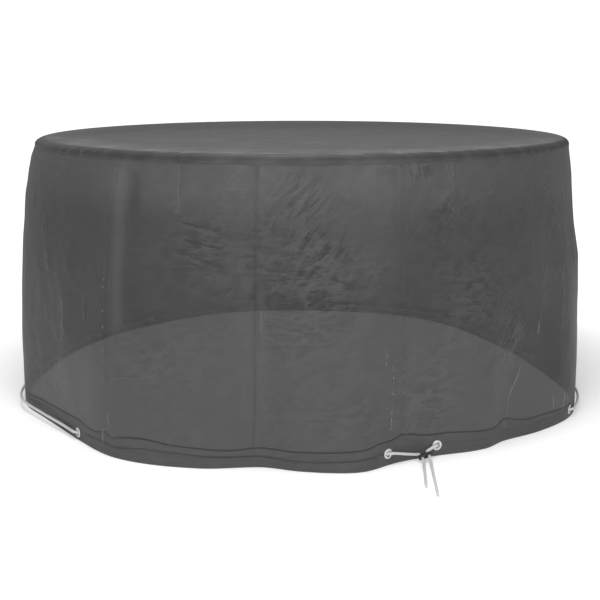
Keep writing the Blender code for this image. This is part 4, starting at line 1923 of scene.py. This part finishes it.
@dataclass
class SideWall(Sheet):
    """The draped wall with its folded hem, as one closed sheet."""

    columns: int = 504
    outer_rows: tuple[float, ...] = (
        *(0.0016, 0.0060, 0.0120, 0.0180, 0.0240, 0.0300, 0.0360, 0.0420, 0.0480, 0.0530),
        *(0.0570, 0.0600, 0.0625, 0.0650, 0.0680, 0.0715, 0.0760, 0.0820, 0.0900),
        *(0.0990 + 0.0118 * i for i in range(66)),
    )
    fold_steps: int = 5
    turned_steps: int = 6
    under_band: float = 0.0021
    low: float = 0.0016
    inner_low: float = 0.0024
    drill: float = 0.0113
    drill_sides: int = 32

    def profile(self) -> list[tuple[str, float]]:
        """The stations of one upright slice of the sheet, from its top outside in.

        Returns:
            The kind and the value of each station.
        """
        turned = [part / self.turned_steps for part in range(self.turned_steps + 1)]
        slices = [("shoulder", turn) for turn in (30, 15, 0)]
        slices += [("outer", height) for height in reversed(self.outer_rows)]
        slices += [("fold", i / self.fold_steps) for i in range(1, self.fold_steps)]
        slices += [("turned", part) for part in turned]
        slices += [("turned_back", part) for part in reversed(turned)]
        slices += [("inner", height) for height in self.outer_rows]
        slices += [("inner_shoulder", turn) for turn in (0, 15, 30)]
        return slices

    def at(self, angle: float, height: float, offset: float) -> Vector:
        """A point of the sheet, a distance inside its outer face.

        Args:
            angle: Where round the cover, in degrees.
            height: Above the edge of the hem.
            offset: How far inside the face.

        Returns:
            The point.
        """
        radius = wall_face(angle, height)
        if height > RIM_HEIGHT - BAND_DEPTH - 0.006:
            radius = min(radius, SHAPE.rim.at(angle) - self.under_band)
        point = polar(angle, radius, height) - outwards(angle) * offset
        return flattened(point, offset) if height < 0.09 else point

    def place(self, column: int, row: int) -> Vector:
        """The point of a column and a row of the grid.

        Args:
            column: The column of the grid.
            row: The row of the grid.

        Returns:
            The point.
        """
        angle = self.angle(column)
        kind, value = self.stations[row % len(self.stations)]
        if kind.endswith("shoulder"):
            inset = self.under_band + (CLOTH if kind.startswith("inner") else 0.0)
            return polar(angle, *SHAPE.shoulder_point(angle, value, inset))
        if kind == "outer":
            return self.at(angle, value, 0.0)
        if kind == "fold":
            turn, half = math.pi * value, HEM_CLOTH / 2
            return self.at(angle, half * (1 - math.sin(turn)), half * (1 - math.cos(turn)))
        top = SHAPE.hem_line.at(angle) - 0.0005
        if kind == "turned":
            return self.at(angle, blend(self.low, top, value), HEM_CLOTH)
        if kind == "turned_back":
            return self.at(angle, blend(self.inner_low, top, value), HEM_CLOTH - CLOTH)
        return self.at(angle, max(value, self.inner_low), CLOTH)

    def chart(self, column: int, row: int) -> Pair:
        """Angle in radians and height of a point of the grid.

        Args:
            column: The column of the grid.
            row: The row of the grid.

        Returns:
            The angle and the height.
        """
        kind, value = self.stations[row % len(self.stations)]
        height = value if kind in ("outer", "inner") else 0.0
        if kind.endswith("shoulder"):
            height = SHOULDER_FOOT
        if kind.startswith("turned"):
            height = -0.02 - 0.06 * value
        return self.turn(column), height

    def build(self, paint: Material) -> Object:
        """Args:
            paint: Its material.

        Returns:
            The wall.
        """
        wall = self.woven("draped_side_wall", len(self.stations))
        drilled(wall, eyelet_frames(), self.drill, 0.02, self.drill_sides)
        wall.data.shade_smooth()
        mark_cloth(wall)
        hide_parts("side_wall")
        return finished(wall, Slot.CLOTH, paint)


@dataclass
class TopPanel(Sheet):
    """The flat top with its rounded edge and turned-down rim band."""

    columns: int = 360
    rings: int = 44
    turns: tuple[int, ...] = tuple(range(0, 91, 9))
    band: float = 0.0014

    def profile(self) -> list[tuple[str, float]]:
        """The stations of one slice, from the middle of the outer face round to the inner.

        Returns:
            The kind and the value of each station.
        """
        slices = [("top", i / self.rings) for i in range(self.rings)]
        slices += [("shoulder", turn) for turn in reversed(self.turns)]
        slices += [("band", part / 4) for part in range(1, 5)]
        slices += [("edge", 0.5)]
        slices += [("turned", part / 4) for part in range(4, -1, -1)]
        slices += [("inner_shoulder", turn) for turn in self.turns]
        slices += [("inner_top", i / self.rings) for i in reversed(range(self.rings))]
        return slices

    def slack(self, x: float, y: float) -> float:
        """Unevenness of the stretched top, with its drawn lines towards the front.

        Args:
            x: To the right.
            y: To the back.

        Returns:
            Metres upwards.
        """
        broad = noise.noise(Vector((3.0 * x, 3.0 * y, 2.0)))
        drawn = noise.noise(Vector((5.0 * x, 16.0 * y, 8.0)))
        fine = noise.noise(Vector((22.0 * x, 26.0 * y, 5.0)))
        return 0.0022 * broad + 0.0012 * drawn + 0.0005 * fine

    def face(self, angle: float, part: float, inset: float) -> Vector:
        """A point of the flat part, part of the way out from its middle.

        Args:
            angle: Where round the cover, in degrees.
            part: Share of the way out.
            inset: How far below the face.

        Returns:
            The point.
        """
        edge, _ = SHAPE.shoulder_point(angle, 90, 0.0)
        point = polar(angle, edge * part, TOP_FACE - DISH * part**2 - inset)
        point.z += self.slack(point.x, point.y) * smooth((1 - part) / 0.06)
        return point

    def place(self, column: int, row: int) -> Vector:
        """The point of a column and a row of the grid.

        Args:
            column: The column of the grid.
            row: The row of the grid.

        Returns:
            The point.
        """
        angle = self.angle(column)
        kind, value = self.stations[row]
        inset = CLOTH if kind.startswith("inner") else 0.0
        if kind.endswith("top"):
            return self.face(angle, value, inset)
        if kind.endswith("shoulder"):
            return polar(angle, *SHAPE.shoulder_point(angle, value, inset))
        lower = RIM_HEIGHT - BAND_DEPTH - self.sag(angle)
        height = lower - 0.0006 if kind == "edge" else blend(SHOULDER_FOOT, lower, value)
        inside = {"band": 0.0, "edge": self.band / 2, "turned": self.band}[kind]
        return polar(angle, SHAPE.rim.at(angle) - inside, height)

    def sag(self, angle: float) -> float:
        """How far the band's lower edge hangs below its even line."""
        return 0.0035 + 0.0022 * noise.noise(Vector((0.19 * angle, 0, 3.0)))

    def chart(self, column: int, row: int) -> Pair:
        """Angle in radians and height along the sheet of a point of the grid.

        Args:
            column: The column of the grid.
            row: The row of the grid.

        Returns:
            The angle and the way along.
        """
        kind, value = self.stations[row]
        heights = {
            "top": 1.0 + (1 - value),
            "inner_top": 3.0 + (1 - value),
            "shoulder": 0.90 + 0.001 * value,
            "inner_shoulder": 2.90 + 0.001 * value,
            "band": 0.90 - 0.01 * value,
            "edge": 0.88,
            "turned": 2.88 + 0.01 * value,
        }
        return self.turn(column), heights[kind]

    def build(self, paint: Material) -> Object:
        """Args:
            paint: Its material.

        Returns:
            The top.
        """
        top = self.woven("flat_top", len(self.stations) - 1)
        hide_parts("top_panel")
        return finished(top, Slot.CLOTH, paint)


@dataclass
class Stitching:
    """Rows of lock stitches: the hem's seam, the rim's seam and the wall's felled seam."""

    pitch: float = 0.0042
    length: float = 0.0030
    width: float = 0.0007
    rise: float = 0.0004
    stations: int = 1440
    hem_drop: float = 0.0035
    rim_rise: float = 0.0030
    seam_half: float = 0.0042
    seam_ends: Pair = (0.084, 0.880)
    seam_steps: int = 219

    def stitch(self) -> Mesh:
        """One stitch along X: a short bar with its ends drawn in.

        Returns:
            Its mesh.
        """
        bar = bmesh.new()
        bmesh.ops.create_cube(bar, size=1.0)
        bmesh.ops.scale(bar, vec=(self.length, self.width, self.rise * 2), verts=bar.verts)
        ends = [vert for vert in bar.verts if vert.co.z > 0]
        bmesh.ops.scale(bar, vec=(0.72, 0.6, 1.0), verts=ends)
        return as_mesh("stitch", bar)

    def ring(self, point: Callable[[float], Vector]) -> Route:
        """A closed row of the points of all angles."""
        points = [point(-180 + 360 * i / self.stations) for i in range(self.stations)]
        return points + points[:1]

    def hem_point(self, angle: float) -> Vector:
        """Where the row that sews the hem runs, a little below its line."""
        height = SHAPE.hem_line.at(angle) - self.hem_drop
        return flattened(polar(angle, wall_face(angle, height), height), 0.0)

    def seam_row(self, side: float) -> Route:
        """Points of a row of the felled seam, side metres from its middle.

        Args:
            side: Metres from the seam's middle.

        Returns:
            The points.
        """
        low, high = self.seam_ends
        points = []
        for i in range(self.seam_steps + 1):
            height = low + i * (high - low) / self.seam_steps
            angle = along(SEAM_LINE, height) + math.degrees(side)
            points.append(polar(angle, wall_face(angle, height), height))
        return points

    def sewn(self, name: str, rows: Iterable[Route], paint: Material) -> Object:
        """Sews a stitch at each pitch of each row, as one joined piece.

        Args:
            name: The piece's name.
            rows: The routes of its rows, on the cloth's face.
            paint: The thread.

        Returns:
            The piece.
        """
        single = self.stitch()
        shape = bmesh.new()
        for row in rows:
            line = curve_through(row, self.pitch)
            for a, b in zip(line, line[1:]):
                middle = (a + b) / 2
                run = (b - a).normalized()
                out = Vector((middle.x, middle.y, 0)).normalized()
                out = (out - run * out.dot(run)).normalized()
                known = len(shape.verts)
                shape.from_mesh(single)
                shape.verts.ensure_lookup_table()
                place = seat(run, out, middle)
                bmesh.ops.transform(shape, matrix=place, verts=shape.verts[known:])
        bpy.data.meshes.remove(single)
        return finished(new_piece(name, shape, flat=True), Slot.CLOTH, paint)

    def build(self, top: TopPanel, paint: Material) -> None:
        """Sews the four runs of stitching.

        Args:
            top: The top, whose band is sewn.
            paint: The thread.
        """

        def rim_point(angle: float) -> Vector:
            """Where the row that sews the rim band to the wall runs."""
            height = RIM_HEIGHT - BAND_DEPTH - top.sag(angle) + self.rim_rise
            return polar(angle, SHAPE.rim.at(angle), height)

        sides = (-self.seam_half, self.seam_half)
        self.sewn("hem_stitching", [self.ring(self.hem_point)], paint)
        self.sewn("rim_stitching", [self.ring(rim_point)], paint)
        self.sewn("seam_stitching", [self.seam_row(side) for side in sides], paint)


@dataclass
class Eyelets:
    """Eight pressed rings, each a barrel with a rolled flange on both faces."""

    hole: float = 0.0096
    barrel: float = 0.0111
    flange: float = 0.0158
    lip: float = 0.0013
    segments: int = 48

    def ring(self) -> Mesh:
        """One ring round Z.

        Returns:
            Its mesh.
        """
        half = HEM_CLOTH / 2 + 0.0003
        crest = half + self.lip
        side = [
            (self.hole, 0.0012),
            (self.hole, crest - 0.0008),
            (self.hole + 0.0003, crest - 0.0003),
            (self.hole + 0.0010, crest),
            (self.hole + 0.0022, crest - 0.0001),
            (self.hole + 0.0040, crest - 0.0006),
            (self.flange - 0.0006, half + 0.0004),
            (self.flange, half + 0.00015),
            (self.flange, half),
            (self.barrel, half),
        ]
        ring = bmesh.new()
        outline = side + [(radius, -across) for radius, across in reversed(side)]
        verts = [ring.verts.new((radius, 0, across)) for radius, across in outline]
        for pair in zip(verts, verts[1:] + verts[:1]):
            ring.edges.new(pair)
        spun(ring, self.segments)
        return as_mesh("ring", ring)

    def build(self, paint: Material) -> None:
        """Seats the eight rings.

        Args:
            paint: The metal.
        """
        single = self.ring()
        for eyelet, place in zip(EYELETS, eyelet_frames()):
            shape = bmesh.new()
            shape.from_mesh(single)
            shape.transform(place)
            piece = new_piece(eyelet.name.replace("eyelet", "ring"), shape)
            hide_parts(eyelet.name)
            finished(piece, Slot.METAL, paint)
        bpy.data.meshes.remove(single)


# ---------------------------------------------------------------- studio


@dataclass
class Lamp:
    """A large soft lamp."""

    name: str
    place: Spot
    size: float
    watts: float
    target: Spot = (0.0, 0.0, -0.4)

    def build(self) -> None:
        """Hangs the lamp and turns it to its target."""
        data = bpy.data.lights.new(self.name, "AREA")
        data.shape = "DISK"
        data.size = self.size
        data.energy = self.watts
        lamp = hung(bpy.data.objects.new(self.name, data))
        lamp.location = self.place
        aim = Vector(self.target) - Vector(self.place)
        lamp.rotation_euler = aim.to_track_quat("-Z", "Y").to_euler()


@dataclass
class Studio:
    """Camera, floor, soft lamps and a white surround."""

    lens: float = 63.32
    sensor: float = 36.0
    eye: Spot = (-0.0014, -3.895, 0.2324)
    pitch: float = 12.427
    surround: float = 0.40
    floor_half: float = 30.0
    lamps: tuple[Lamp, ...] = (
        Lamp("overhead_softbox", (-0.2, -0.8, 2.7), 2.0, 90.0, (0.0, -0.3, 0.0)),
        Lamp("left_softbox", (-1.5, -4.8, 1.3), 1.9, 62.0),
        Lamp("right_softbox", (2.2, -4.5, 1.1), 1.9, 57.0),
    )

    def camera(self) -> None:
        """Sets the camera at the photograph's height, distance and tilt."""
        data = bpy.data.cameras.new("studio_camera")
        data.lens = self.lens
        data.sensor_width = self.sensor
        camera = hung(bpy.data.objects.new("studio_camera", data))
        camera.location = self.eye
        camera.rotation_euler = (math.radians(90 - self.pitch), 0, 0)
        bpy.context.scene.camera = camera

    def light(self) -> None:
        """Sets the white surround and hangs the lamps."""
        world = bpy.data.worlds.new("white_surround")
        world.use_nodes = True
        w = Wires(world.node_tree)
        ground = world.node_tree.nodes["Background"].inputs
        ground["Color"].default_value = (1, 1, 1, 1)
        seen = w.add("LightPath").outputs["Is Camera Ray"]
        w.put(ground["Strength"], w.times(seen, 1.0 - self.surround, self.surround))
        bpy.context.scene.world = world
        bpy.context.scene.view_settings.view_transform = "Standard"
        for lamp in self.lamps:
            lamp.build()

    def floor(self) -> None:
        """Lays the pale floor under the hem."""
        shape = bmesh.new()
        bmesh.ops.create_grid(shape, x_segments=8, y_segments=8, size=self.floor_half)
        bmesh.ops.translate(shape, verts=shape.verts, vec=(0, 0, -DROP - 0.0002))
        floor = new_piece("studio_floor", shape, flat=True)
        floor.data.materials.append(FloorFinish().material())


def main() -> None:
    """Builds the studio and the cover, piece by piece."""
    logging.basicConfig(level=logging.INFO, format="%(message)s", stream=sys.stdout)
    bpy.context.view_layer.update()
    studio = Studio()
    studio.camera()
    toggle = Toggle()
    TieCords(toggle).build(BraidFinish().material())
    toggle.build(PlasticFinish().material())
    SideWall().build(WALL_CLOTH.material())
    top = TopPanel()
    top.build(TOP_CLOTH.material())
    Stitching().build(top, ThreadFinish().material())
    Eyelets().build(MetalFinish().material())
    studio.light()
    studio.floor()


if __name__ == "__main__":
    main()
